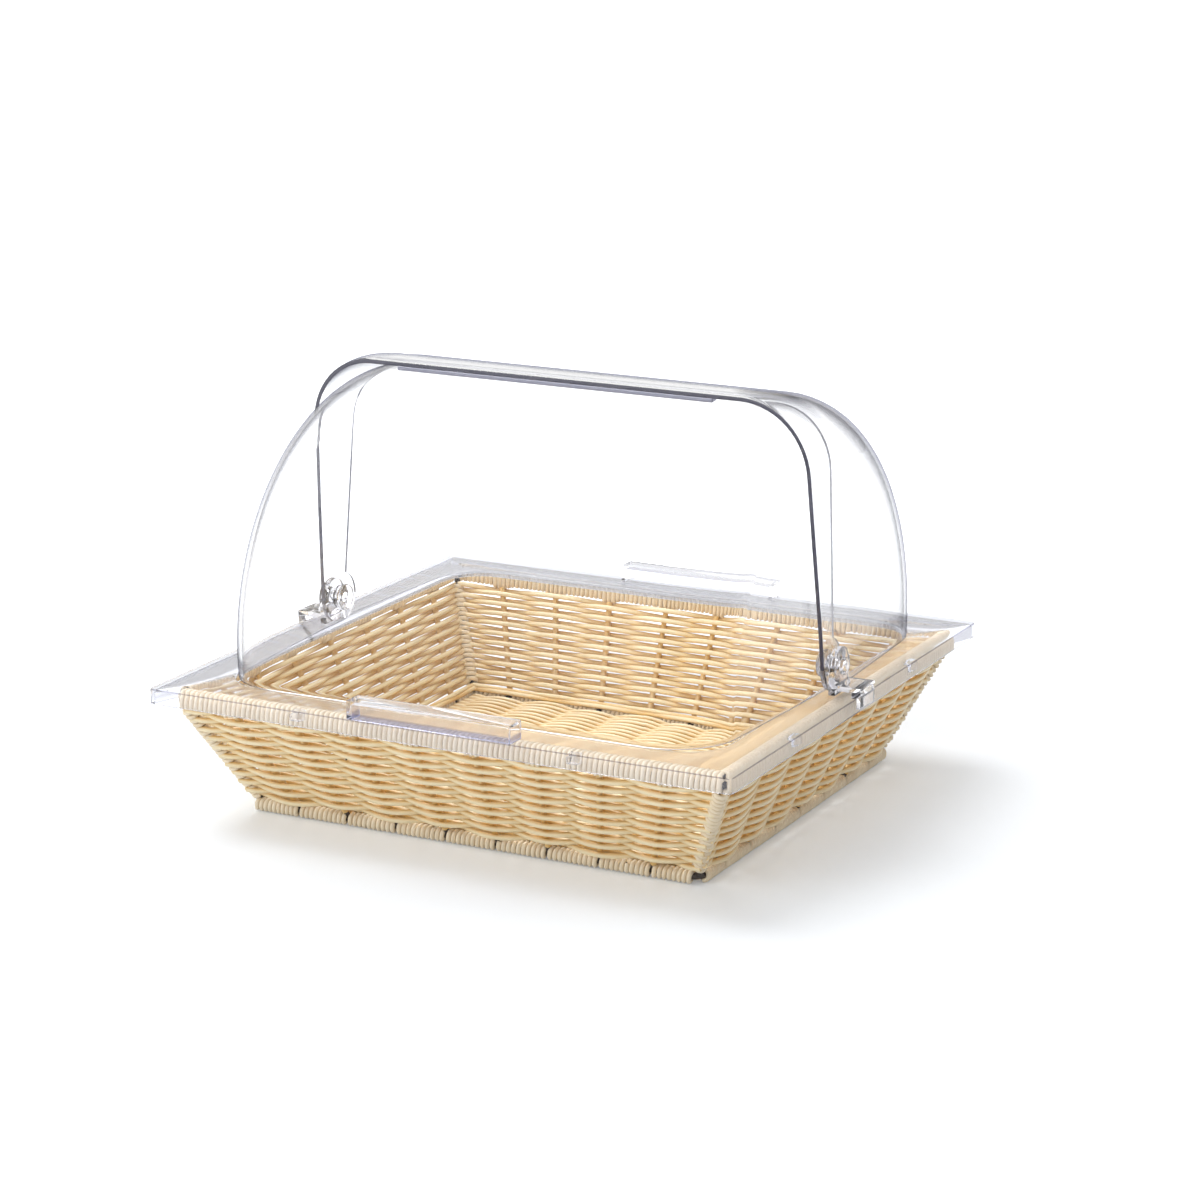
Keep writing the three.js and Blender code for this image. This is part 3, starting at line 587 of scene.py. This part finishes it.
# painted shade: a dark clear edge for the frame's rounded top edge, where the light stays in the wall
topEdgeShade = clearMaterial("clear_painted_edge_shade", {
    "tint": (0.26, 0.26, 0.34), "shade": (0.8, 0.8, 0.84), "edge": (0.14, 0.14, 0.2), "edgeFrom": 0.6,
    "edgeShare": 0.8, "ior": 1.1, "shine": 0.6, "gloss": 0.1, "haze": 0.05, "wave": 0.0, "clear": 1.0,
})
greyEdge = darkMaterial("clear_grey_edge", {
    "colour": (0.40, 0.40, 0.45), "roughness": 0.25, "streaks": 0.6,
})
darkEdge = darkMaterial("clear_dark_edge", {
    "colour": (0.055, 0.052, 0.08), "roughness": 0.2, "streaks": 0.25,
})
darkStrip = darkMaterial("clear_dark_strip", {
    "colour": (0.34, 0.34, 0.44), "roughness": 0.2, "streaks": 0.5,
})
lacqueredWire = wireMaterial("lacquered_wire", wireLook)
print("stage: materials made")

# Woven walls and base
weaveTree = buildWeaveTree()
windingTree = buildWindingTree()
wallWeave = {
    "rows": 20, "samples": 113, "strand": 1.66 * mm, "swing": 3.1 * mm, "endSwing": 0.5,
    "wander": 1.5 * mm, "lowGap": 0.9 * mm, "highGap": -0.4 * mm,
}
baseWeave = {
    "rows": 78, "samples": 97, "strand": 1.5 * mm, "swing": 2.1 * mm, "endSwing": 0.15, "wander": 1.1 * mm,
}
hemWeave = {
    "rows": 2, "samples": 97, "strand": 1.5 * mm, "swing": 0.5 * mm, "endSwing": 1.0, "wander": 0.8 * mm,
    # how far outside the base ring, and how high
    "low": (-4.6 * mm, 8.0 * mm), "high": (-1.4 * mm, 11.2 * mm),
}


# Weaves between four corners: the start and end of the lowest row, and those of the highest
def weave(name, corners, outward, look, seed, stakes=2, spread=1.0):
    return grown(name, weaveTree, {
        **dict(zip(("Low Start", "Low End", "High Start", "High End"), corners)), "Outward": outward,
        "Rows": look["rows"], "Samples": look["samples"], "Stakes": stakes, "Stake Spread": spread,
        "Swing": look["swing"], "Strand Radius": look["strand"], "Wander": look["wander"],
        "End Swing": look["endSwing"], "Seed": seed, "Material": weaveCane,
    })


def weaveWall(name, side, seed):
    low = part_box(name + "_wall")[0].z + wallWeave["lowGap"]
    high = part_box(name + "_wall")[1].z - wallWeave["highGap"]
    corners = [onWall(side, end, z) for z in (low, high) for end in (-1, 1)]
    outward = side["along"].cross(onWall(side, 0, high) - onWall(side, 0, low)).normalized()
    wall = weave(name + "_weave", corners, outward, wallWeave, seed, side["stakes"], stakeSpread)
    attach(wall, "basket")
    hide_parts(name + "_wall")


for seed, (name, side) in enumerate(sides.items()):
    weaveWall(name, side, 1.0 + seed)


def weaveBase():
    low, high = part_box("base_panel")
    z = (low.z + high.z) / 2
    corners = [Vector((x, y, z)) for y in (low.y, high.y) for x in (low.x, high.x)]
    spread = stakeSpread * baseRing["x"] / high.x
    base = weave("base_weave", corners, zAxis, baseWeave, 9.0, sides["front"]["stakes"], spread)
    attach(base, "basket")
    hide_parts("base_panel")


weaveBase()


# Two rows inside, where a wall meets the base, over the border's inner side
def weaveHem(name, side, seed):
    corners = []
    for past, z in (hemWeave["low"], hemWeave["high"]):
        reach = side["out"] * (baseRing[side["reach"]] + past)
        half = side["along"] * (baseRing[side["run"]] + past)
        corners += [half * end + reach + Vector((0, 0, z)) for end in (-1, 1)]
    outward = side["along"].cross(corners[2] - corners[0]).normalized()
    hem = weave(name + "_hem", corners, outward, hemWeave, seed, side["stakes"], stakeSpread)
    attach(hem, "basket")


for seed, (name, side) in enumerate(sides.items()):
    weaveHem(name, side, 11.0 + seed)
print("stage: basket woven")

# Cane sleeves on the stakes
stakeSleeve = {
    "rows": 1, "samples": 24, "strand": 1.95 * mm, "swing": 0.0, "endSwing": 1.0, "wander": 0.5 * mm,
}


def joined(name, parts):
    with bpy.context.temp_override(active_object=parts[0], selected_editable_objects=parts):
        bpy.ops.object.join()
    parts[0].name = name
    parts[0].data.name = name
    return parts[0]


# Straight strands over the welded stakes, from the base border to the rim and across the base
def sleeveStakes():
    runs = []
    for side in sides.values():
        low = extent("base_wrap_front").z
        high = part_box("front_wall")[1].z
        for i in range(side["stakes"]):
            share = stakeSpread * (2 * i / (side["stakes"] - 1) - 1)
            runs.append((onWall(side, share, low), onWall(side, share, high)))
    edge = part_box("base_panel")[1]
    for i in range(sides["front"]["stakes"]):
        x = baseRing["x"] * stakeSpread * (2 * i / (sides["front"]["stakes"] - 1) - 1)
        runs.append((Vector((x, -edge.y, baseRing["z"])), Vector((x, edge.y, baseRing["z"]))))
    parts = [
        weave("stake_sleeve", (*run, *run), zAxis, stakeSleeve, 20.0 + i) for i, run in enumerate(runs)
    ]
    return joined("stake_sleeves", parts)


sleeves = sleeveStakes()
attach(sleeves, "basket")
print("stage: stakes sleeved")

# Wound borders and corner posts
rimWinding = {
    "pitch": 3.2 * mm, "strand": 1.55 * mm, "steps": 16, "squareness": 0.6, "drop": 2.0 * mm, "gap": 0.0,
    "wander": 0.5 * mm, "bundled": False,
    # mm that a winding runs on past its solid, at its start and its end
    "longer": {"front": (4.0, 6.8), "back": (4.0, 4.0), "left": (1.7, 1.7), "right": (6.0, 1.7)},
}
baseWinding = {
    "pitch": 3.1 * mm, "strand": 1.5 * mm, "steps": 14, "squareness": 0.8, "drop": 0.0, "gap": -0.2 * mm,
    "wander": 0.5 * mm, "bundled": True,
    "longer": {"front": (7.5, 2.4), "back": (2.4, 7.5), "left": (2.4, 2.4), "right": (2.4, 7.5)},
}
postWinding = {
    "pitch": 3.2 * mm, "strand": 1.5 * mm, "steps": 12, "squareness": 1.0, "drop": 0.0, "gap": 0.0,
    "wander": 0.9 * mm, "radius": 4.5 * mm,
}


# Winds a bar in one bundle, unless the places given for the stakes say more
def wind(name, start, end, outward, halfOut, halfUp, look, seed, stakes):
    whole = (end - start).length
    return grown(name, windingTree, {
        "Start": start, "End": end, "Outward": outward, "Half Out": halfOut, "Half Up": halfUp,
        "Bundles": 1, "First Edge": whole, "Edge Step": whole, "Gap": look["gap"], "Pitch": look["pitch"],
        "Steps": look["steps"], "Squareness": look["squareness"], "Strand Radius": look["strand"],
        "Drop": look["drop"], "Wander": look["wander"], "Seed": seed, "Material": wrapCane, **stakes,
    })


def windBorder(name, side, kind, look, ring, seed):
    node = kind + "_wrap_" + name
    size = extent(node)
    centre = middle(node)
    half = size.dot(Vector(map(abs, side["along"]))) / 2
    before, after = (extra * mm for extra in look["longer"][name])
    start = centre - side["along"] * (half + before)
    end = centre + side["along"] * (half + after)
    reach = ring[side["run"]] * stakeSpread
    stakes = {"First Stake": half + before - reach, "Stake Step": 2 * reach / (side["stakes"] - 1)}
    if look["bundled"]:
        stakes["Bundles"] = side["stakes"] + 1
        stakes["First Edge"], stakes["Edge Step"] = stakes["First Stake"], stakes["Stake Step"]
    halfOut = size.dot(Vector(map(abs, side["out"]))) / 2 - look["strand"]
    halfUp = size.z / 2 - look["strand"] - look["wander"] / 4
    wound = wind(kind + "_winding_" + name, start, end, side["out"], halfOut, halfUp, look, seed, stakes)
    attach(wound, "basket")
    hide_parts(node)


for seed, (name, side) in enumerate(sides.items()):
    windBorder(name, side, "rim", rimWinding, rimRing, 31.0 + seed)
    windBorder(name, side, "base", baseWinding, baseRing, 41.0 + seed)


basketCorners = [fore + "_" + hand for fore in ("front", "back") for hand in ("left", "right")]


def windPost(corner, seed):
    low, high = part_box("corner_wire_" + corner)
    sx = -1 if "left" in corner else 1
    sy = -1 if "front" in corner else 1
    foot = Vector((low.x if sx > 0 else high.x, low.y if sy > 0 else high.y, low.z))
    head = Vector((high.x if sx > 0 else low.x, high.y if sy > 0 else low.y, high.z))
    climb = head - foot
    start, end = (foot + climb * ((tip.z - low.z) / climb.z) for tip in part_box("corner_wrap_" + corner))
    outward = Vector((sx, sy, 0)).normalized()
    outward = (outward - climb.normalized() * outward.dot(climb.normalized())).normalized()
    radius = postWinding["radius"] - postWinding["strand"]
    stakes = {"First Stake": 0.0, "Stake Step": 1.0}
    wound = wind("corner_winding_" + corner, start, end, outward, radius, radius, postWinding, seed, stakes)
    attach(wound, "basket")
    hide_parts("corner_wrap_" + corner)


for seed, corner in enumerate(basketCorners):
    windPost(corner, 51.0 + seed)
for node in ["wire_cage", "rim_wire_ring"] + ["corner_wire_" + corner for corner in basketCorners]:
    coat(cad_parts[node].data, [lacqueredWire])
print("stage: borders wound")


# Clear mouldings
def finishPiece(piece, body, slotName, *nodes):
    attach(piece, body)
    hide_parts(*nodes)


mergeDistance = 0.02 * mm


def pieceFrom(name, work, mesh, materials):
    work.to_mesh(mesh)
    work.free()
    coat(mesh, materials)
    for face in mesh.polygons:
        face.use_smooth = True
    return added(name, mesh)


def meshPiece(name, build, materials):
    mesh = bpy.data.meshes.new(name)
    work = bmesh.new()
    build(work)
    bmesh.ops.remove_doubles(work, verts=work.verts, dist=mergeDistance)
    bmesh.ops.recalc_face_normals(work, faces=work.faces)
    return pieceFrom(name, work, mesh, materials)


def roundEdges(piece, width, segments, angle):
    bevel = piece.modifiers.new("edges", "BEVEL")
    bevel.width = width
    bevel.segments = segments
    bevel.limit_method = "ANGLE"
    bevel.angle_limit = math.radians(angle)
    return bevel


# Puts a piece's modifiers into its mesh
def evaluate(piece):
    mesh = settledMesh(piece)
    piece.modifiers.clear()
    piece.data = mesh
    mesh.name = piece.name


# Faces between rows of points, each row as long as the next
def quadStrip(work, rings, closed):
    made = [[work.verts.new(point) for point in ring] for ring in rings]
    for here, there in zip(made, made[1:]):
        count = len(here)
        for i in range(count if closed else count - 1):
            j = (i + 1) % count
            work.faces.new((here[i], here[j], there[j], there[i]))


frontHood = {
    "node": "front_hood", "body": "front_hood", "fillet": 38 * mm, "edgeOffset": 4.3 * mm, "edgeLean": 3.0,
    "flare": 0.0, "facing": -1,
}
backHood = {
    "node": "back_hood", "body": "back_hood", "fillet": 42 * mm, "edgeOffset": 15 * mm, "edgeLean": 4.7,
    "flare": 6.8 * mm, "facing": 1,
}
hoodShape = {
    "wall": 2.4 * mm, "draft": 3.0, "flareSpread": 20.0, "bore": 3.4 * mm, "columns": 84, "filletSteps": 14,
    "sideSteps": 10, "crownSteps": 8, "earSteps": 24, "edgeRound": 0.45 * mm, "edgeSegments": 2,
    "edgeAngle": 50,
}


# From the ear out over the side and the fillet to the middle of the crown, as pairs of x and radius
def hoodProfile(hood, halfWidth, radius, ear):
    slant = math.radians(hoodShape["draft"])
    slope = math.tan(slant)
    centre = radius - hood["fillet"]
    centreX = halfWidth - (centre - ear) * slope - hood["fillet"] / math.cos(slant)
    profile = []
    sideEnd = centre + hood["fillet"] * math.sin(slant)
    for i in range(hoodShape["sideSteps"]):
        reach = ear + (sideEnd - ear) * i / hoodShape["sideSteps"]
        profile.append((halfWidth - (reach - ear) * slope, reach))
    for i in range(hoodShape["filletSteps"] + 1):
        angle = slant + (math.pi / 2 - slant) * i / hoodShape["filletSteps"]
        x = centreX + hood["fillet"] * math.cos(angle)
        profile.append((x, centre + hood["fillet"] * math.sin(angle)))
    for i in range(1, hoodShape["crownSteps"] + 1):
        profile.append((centreX * (1 - i / hoodShape["crownSteps"]), radius))
    return profile


def buildHood(hood):
    low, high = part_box(hood["node"])
    ear = hingeZ - low.z
    halfWidth = high.x
    radius = max(abs(low.y), abs(high.y))
    lean = math.radians(hood["edgeLean"])
    leading = math.pi / 2 + lean
    offset = hood["edgeOffset"] * math.cos(lean)
    flaredAt = leading + math.asin(ear / radius)

    def point(x, reach, angle):
        before = abs(flaredAt - angle) / math.radians(hoodShape["flareSpread"])
        share = max(0.0, 1 - before)
        grow = 1 + (hood["flare"] / radius) * share * share * (3 - 2 * share)
        ahead = hood["facing"] * reach * math.cos(angle) * grow
        return Vector((x, ahead, hingeZ + reach * math.sin(angle) * grow))

    def row(x, reach):
        foot = -math.asin(min(1.0, ear / reach))
        edge = leading + math.asin(min(1.0, offset / reach))
        count = hoodShape["columns"]
        return [point(x, reach, foot + (edge - foot) * i / count) for i in range(count + 1)]

    def build(work):
        profile = hoodProfile(hood, halfWidth, radius, ear)
        for sign in (-1, 1):
            quadStrip(work, [row(sign * x, reach) for x, reach in profile], False)
            # the round ear: the same columns as the side, and the rest of the circle
            first = -math.pi / 2
            last = leading + math.asin(min(1.0, offset / ear))
            columns = hoodShape["columns"]
            rest = hoodShape["earSteps"]
            angles = [first + (last - first) * i / columns for i in range(columns + 1)]
            angles += [last + (1.5 * math.pi - last) * i / rest for i in range(1, rest)]
            reaches = [hoodShape["bore"], (hoodShape["bore"] + ear) / 2, ear]
            quadStrip(work, [[point(sign * halfWidth, r, a) for a in angles] for r in reaches], True)

    piece = meshPiece(hood["node"] + "_shell", build, [clearHood, darkEdge, greyEdge])
    shell = piece.modifiers.new("wall", "SOLIDIFY")
    shell.thickness = hoodShape["wall"]
    shell.offset = -1
    shell.use_even_offset = True
    shell.material_offset_rim = 1
    roundEdges(piece, hoodShape["edgeRound"], hoodShape["edgeSegments"], hoodShape["edgeAngle"])
    evaluate(piece)
    # of the cut faces, the back hood's leading edge is dark and the front hood's rear edge is grey
    slope = math.tan(lean)
    for face in piece.data.polygons:
        ahead = -hood["facing"] * face.center.y - (face.center.z - hingeZ) * slope
        isCut = face.material_index == 1 and face.center.z > hingeZ
        if hood["facing"] > 0:
            face.material_index = 1 if isCut and ahead > ear - hoodShape["wall"] / 2 else 0
        else:
            face.material_index = 2 if isCut and ahead > 0 else 0
    return piece


for hood in (frontHood, backHood):
    shell = buildHood(hood)
    finishPiece(shell, hood["body"], "clear", hood["node"])
print("stage: hoods made")

frameShape = {
    "skirtWall": 2.4 * mm, "plate": 2.5 * mm, "outerRadius": 4 * mm, "openingRadius": 26 * mm,
    "openingX": 157.1 * mm, "openingY": 141.6 * mm, "edgeRound": 0.6 * mm, "edgeSteps": 3,
    "cornerSteps": 10, "sideSteps": 6,
    "bandOut": 1.2, "bandUp": 1.1,  # how far the skirt's and the edge's own looks reach, in edge rounds
    "plateRings": (0.08, 0.3, 0.6, 0.9),  # shares of the way from the outer edge to the opening
}
lugShape = {
    "length": 6.5 * mm, "height": 4 * mm, "gap": 0.5 * mm, "round": 0.5 * mm, "segments": 2, "edgeAngle": 30,
    "spread": 0.475,  # share of a side's half length
}


def roundedRing(halfX, halfY, radius, z):
    points = []
    corners = ((1, 1), (-1, 1), (-1, -1), (1, -1))
    steps = frameShape["cornerSteps"]

    def onCorner(corner, angle):
        sx, sy = corners[corner % 4]
        x = sx * (halfX - radius) + radius * math.cos(angle)
        y = sy * (halfY - radius) + radius * math.sin(angle)
        return Vector((x, y, z))

    for quarter in range(4):
        points += [onCorner(quarter, (quarter + i / steps) * math.pi / 2) for i in range(steps + 1)]
        last = points[-1]
        goal = onCorner(quarter + 1, (quarter + 1) * math.pi / 2)
        for i in range(1, frameShape["sideSteps"]):
            points.append(last.lerp(goal, i / frameShape["sideSteps"]))
    return points


def buildFrame():
    low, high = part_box("cover_frame")
    shape = frameShape
    edge = shape["edgeRound"]
    inX, inY = high.x - shape["skirtWall"], high.y - shape["skirtWall"]
    inRadius = shape["outerRadius"] - shape["skirtWall"]
    under = high.z - shape["plate"]
    small = edge / 3

    def build(work):
        rings = [
            roundedRing(inX, inY, inRadius, under),
            roundedRing(inX, inY, inRadius, low.z + small),
            roundedRing(inX + small, inY + small, inRadius + small, low.z),
            roundedRing(high.x - small, high.y - small, shape["outerRadius"] - small, low.z),
            roundedRing(high.x, high.y, shape["outerRadius"], low.z + small),
        ]
        # the rounded top edge
        for i in range(shape["edgeSteps"] + 1):
            turn = math.pi / 2 * i / shape["edgeSteps"]
            less, rise = edge * (1 - math.cos(turn)), edge * (math.sin(turn) - 1)
            radius = shape["outerRadius"] - less
            rings.append(roundedRing(high.x - less, high.y - less, radius, high.z + rise))
        for share in shape["plateRings"]:
            x = high.x + (shape["openingX"] - high.x) * share
            y = high.y + (shape["openingY"] - high.y) * share
            radius = shape["outerRadius"] + (shape["openingRadius"] - shape["outerRadius"]) * share
            rings.append(roundedRing(x, y, radius, high.z))
        # the rounded edge of the opening
        for i in range(2 * shape["edgeSteps"] + 1):
            turn = math.pi / 2 * (1 - i / shape["edgeSteps"])
            half = shape["plate"] / 2
            less = half / 2 * (1 - math.cos(turn))
            x, y = shape["openingX"] + less, shape["openingY"] + less
            rings.append(roundedRing(x, y, shape["openingRadius"], high.z - half + half * math.sin(turn)))
        rings.append(rings[0])
        quadStrip(work, rings, True)

    piece = meshPiece("cover_frame_moulding", build, [clearPlate, clearSkirt, topEdgeShade])
    # the skirt's outer side, and on top of it the rounded edge, which gets a painted dark line
    for face in piece.data.polygons:
        centre = face.center
        past = max(abs(centre.x) - high.x, abs(centre.y) - high.y)
        if past > -shape["bandOut"] * edge:
            face.material_index = 2 if centre.z > high.z - shape["bandUp"] * edge else 1
    return piece


# Small blocks under the plate that centre it on the basket's rim
def buildLugs():
    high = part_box("cover_frame")[1]
    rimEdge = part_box("rim_wrap_right")[1].x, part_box("rim_wrap_back")[1].y
    z = high.z - frameShape["plate"] - lugShape["height"] / 2 - lugShape["gap"] / 4
    blocks = []
    for side in sides.values():
        across = 0 if side["reach"] == "x" else 1
        inner = rimEdge[across] + lugShape["gap"]
        outer = high[across] - frameShape["skirtWall"] - lugShape["gap"] / 2
        reach = side["out"] * (inner + outer) / 2
        size = Vector(map(abs, side["along"] * lugShape["length"] + side["out"] * (outer - inner)))
        size.z = lugShape["height"]
        for sign in (-1, 1):
            along = side["along"] * sign * lugShape["spread"] * high[1 - across]
            blocks.append((along + reach + Vector((0, 0, z)), size))

    def build(work):
        for place, size in blocks:
            cube = bmesh.ops.create_cube(work, size=1.0)["verts"]
            for vert in cube:
                vert.co = Vector(a * b for a, b in zip(vert.co, size)) + place

    piece = meshPiece("cover_frame_lugs", build, [clearPlate])
    roundEdges(piece, lugShape["round"], lugShape["segments"], lugShape["edgeAngle"])
    evaluate(piece)
    return piece


fittingShape = {
    "merge": 0.002 * mm, "flatAngle": 2, "edgeAngle": 30, "edgeSegments": 3,
    "edgeRounds": {
        "grip_rail": 0.5 * mm, "bracket": 0.6 * mm, "rivet": 0.4 * mm, "spacer": 0.2 * mm, "strip": 0.6 * mm,
    },
}


# A CAD node's mesh, merged, with its sharp edges rounded off
def solidCopy(node, kind, materials):
    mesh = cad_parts[node].data.copy()
    work = bmesh.new()
    work.from_mesh(mesh)
    bmesh.ops.remove_doubles(work, verts=work.verts, dist=fittingShape["merge"])
    flat = math.radians(fittingShape["flatAngle"])
    bmesh.ops.dissolve_limit(work, angle_limit=flat, verts=work.verts, edges=work.edges)
    piece = pieceFrom(node + "_moulding", work, mesh, materials)
    width = fittingShape["edgeRounds"][kind]
    bevel = roundEdges(piece, width, fittingShape["edgeSegments"], fittingShape["edgeAngle"])
    bevel.harden_normals = True
    return piece


finishPiece(buildFrame(), "cover", "clear", "cover_frame")
lugs = buildLugs()
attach(lugs, "cover")
for end, material in (("front", edgeShadedRail), ("back", clearRail)):
    node = end + "_grip_rail"
    finishPiece(solidCopy(node, "grip_rail", [material]), "cover", "clear", node)
for hand in ("left", "right"):
    for kind in ("bracket", "rivet", "spacer"):
        node = "hinge_" + kind + "_" + hand
        finishPiece(solidCopy(node, kind, [clearFitting]), "cover", "clear", node)
strip = solidCopy("hood_grip_strip", "strip", [darkStrip])
finishPiece(strip, "back_hood", "clear", "hood_grip_strip")
print("stage: cover made")

# Studio: floor, backdrop, lamps, world and camera
studio = {
    "floor": 6.0, "floorColour": (0.885, 0.92, 0.96), "floorRoughness": 0.6, "floorShine": 0.1,
    # how much the floor glows to the eye near the basket and far from it, and between which distances
    "nearLift": 0.17, "farLift": 1.0, "liftFrom": 0.18, "liftTo": 0.62,
    "worldLight": 0.48, "lampsAim": (0, 0, 0.08),
}
lamps = {
    "key_lamp": {"power": 34.0, "size": 1.5, "colour": (1.0, 1.0, 1.0), "place": (-1.2, 0.6, 2.4)},
    "fill_lamp": {"power": 30.0, "size": 2.2, "colour": (0.92, 0.97, 1.0), "place": (-1.5, -2.4, 0.8)},
}


def floorMaterial():
    material, tree, surface, output = startMaterial("studio_floor")
    plugAll(tree, surface, {
        "Base Color": (*studio["floorColour"], 1), "Roughness": studio["floorRoughness"],
        "Specular IOR Level": studio["floorShine"],
    })
    away = calcVector(tree, "LENGTH", tree.nodes.new("ShaderNodeTexCoord").outputs["Object"])
    fade = remap(
        tree, away, studio["liftFrom"], studio["liftTo"], studio["nearLift"], studio["farLift"], smooth=True,
    )
    strength = calc(tree, "MULTIPLY", fade, seenDirectly(tree))
    glow = addNode(tree, "ShaderNodeEmission", {"Strength": strength}).outputs[0]
    total = addNode(tree, "ShaderNodeAddShader", {0: surface.outputs[0], 1: glow}).outputs[0]
    plug(tree, total, output.inputs["Surface"])
    return material


# 1 for what the camera sees, also by reflection and through the clear cover
def seenDirectly(tree):
    path = tree.nodes.new("ShaderNodeLightPath").outputs
    bounced = calc(tree, "ADD", path["Is Glossy Ray"], path["Is Transmission Ray"])
    seen = calc(tree, "ADD", path["Is Camera Ray"], bounced)
    return calc(tree, "MINIMUM", seen, 1.0)


def buildStudio():
    mesh = bpy.data.meshes.new("studio_floor")
    half = studio["floor"]
    corners = [(-half, -half, 0), (half, -half, 0), (half, half, 0), (-half, half, 0)]
    mesh.from_pydata(corners, [], [(0, 1, 2, 3)])
    mesh.materials.append(floorMaterial())
    floor = added("studio_floor", mesh)

    world = bpy.data.worlds.new("studio_world")
    bpy.context.scene.world = world
    world.use_nodes = True
    tree = world.node_tree
    seen = seenDirectly(tree)
    strength = calc(tree, "MULTIPLY_ADD", seen, 1.0 - studio["worldLight"], studio["worldLight"])
    plugAll(tree, tree.nodes["Background"], {"Color": (1, 1, 1, 1), "Strength": strength})

    for name, given in lamps.items():
        lamp = bpy.data.lights.new(name, "AREA")
        lamp.energy = given["power"]
        lamp.size = given["size"]
        lamp.color = given["colour"]
        holder = added(name, lamp)
        holder.location = given["place"]
        aim = Vector(studio["lampsAim"]) - Vector(given["place"])
        holder.rotation_euler = aim.to_track_quat("-Z", "Y").to_euler()


# The photograph's view, fitted to the corners of the rim, the cover frame and the base
view = {
    "azimuth": 26.74, "elevation": 15.21, "distance": 2175.65 * mm, "aim": (-10.31 * mm, 130.84 * mm),
    "lens": 104.74, "sensor": 36.0, "shift": -0.05, "clipEnd": 50,
}


def buildCamera():
    azimuth, elevation = math.radians(view["azimuth"]), math.radians(view["elevation"])
    level = math.cos(elevation)
    back = Vector((math.sin(azimuth) * level, -math.cos(azimuth) * level, math.sin(elevation)))
    data = bpy.data.cameras.new("camera")
    data.lens = view["lens"]
    data.sensor_width = view["sensor"]
    data.shift_x = view["shift"]
    data.clip_end = view["clipEnd"]
    camera = added("camera", data)
    camera.location = Vector((*view["aim"], plateTop)) + back * view["distance"]
    camera.rotation_euler = (-back).to_track_quat("-Z", "Y").to_euler()
    bpy.context.scene.camera = camera


buildStudio()
buildCamera()
bpy.context.scene.view_settings.view_transform = "Standard"
print("stage: studio built")
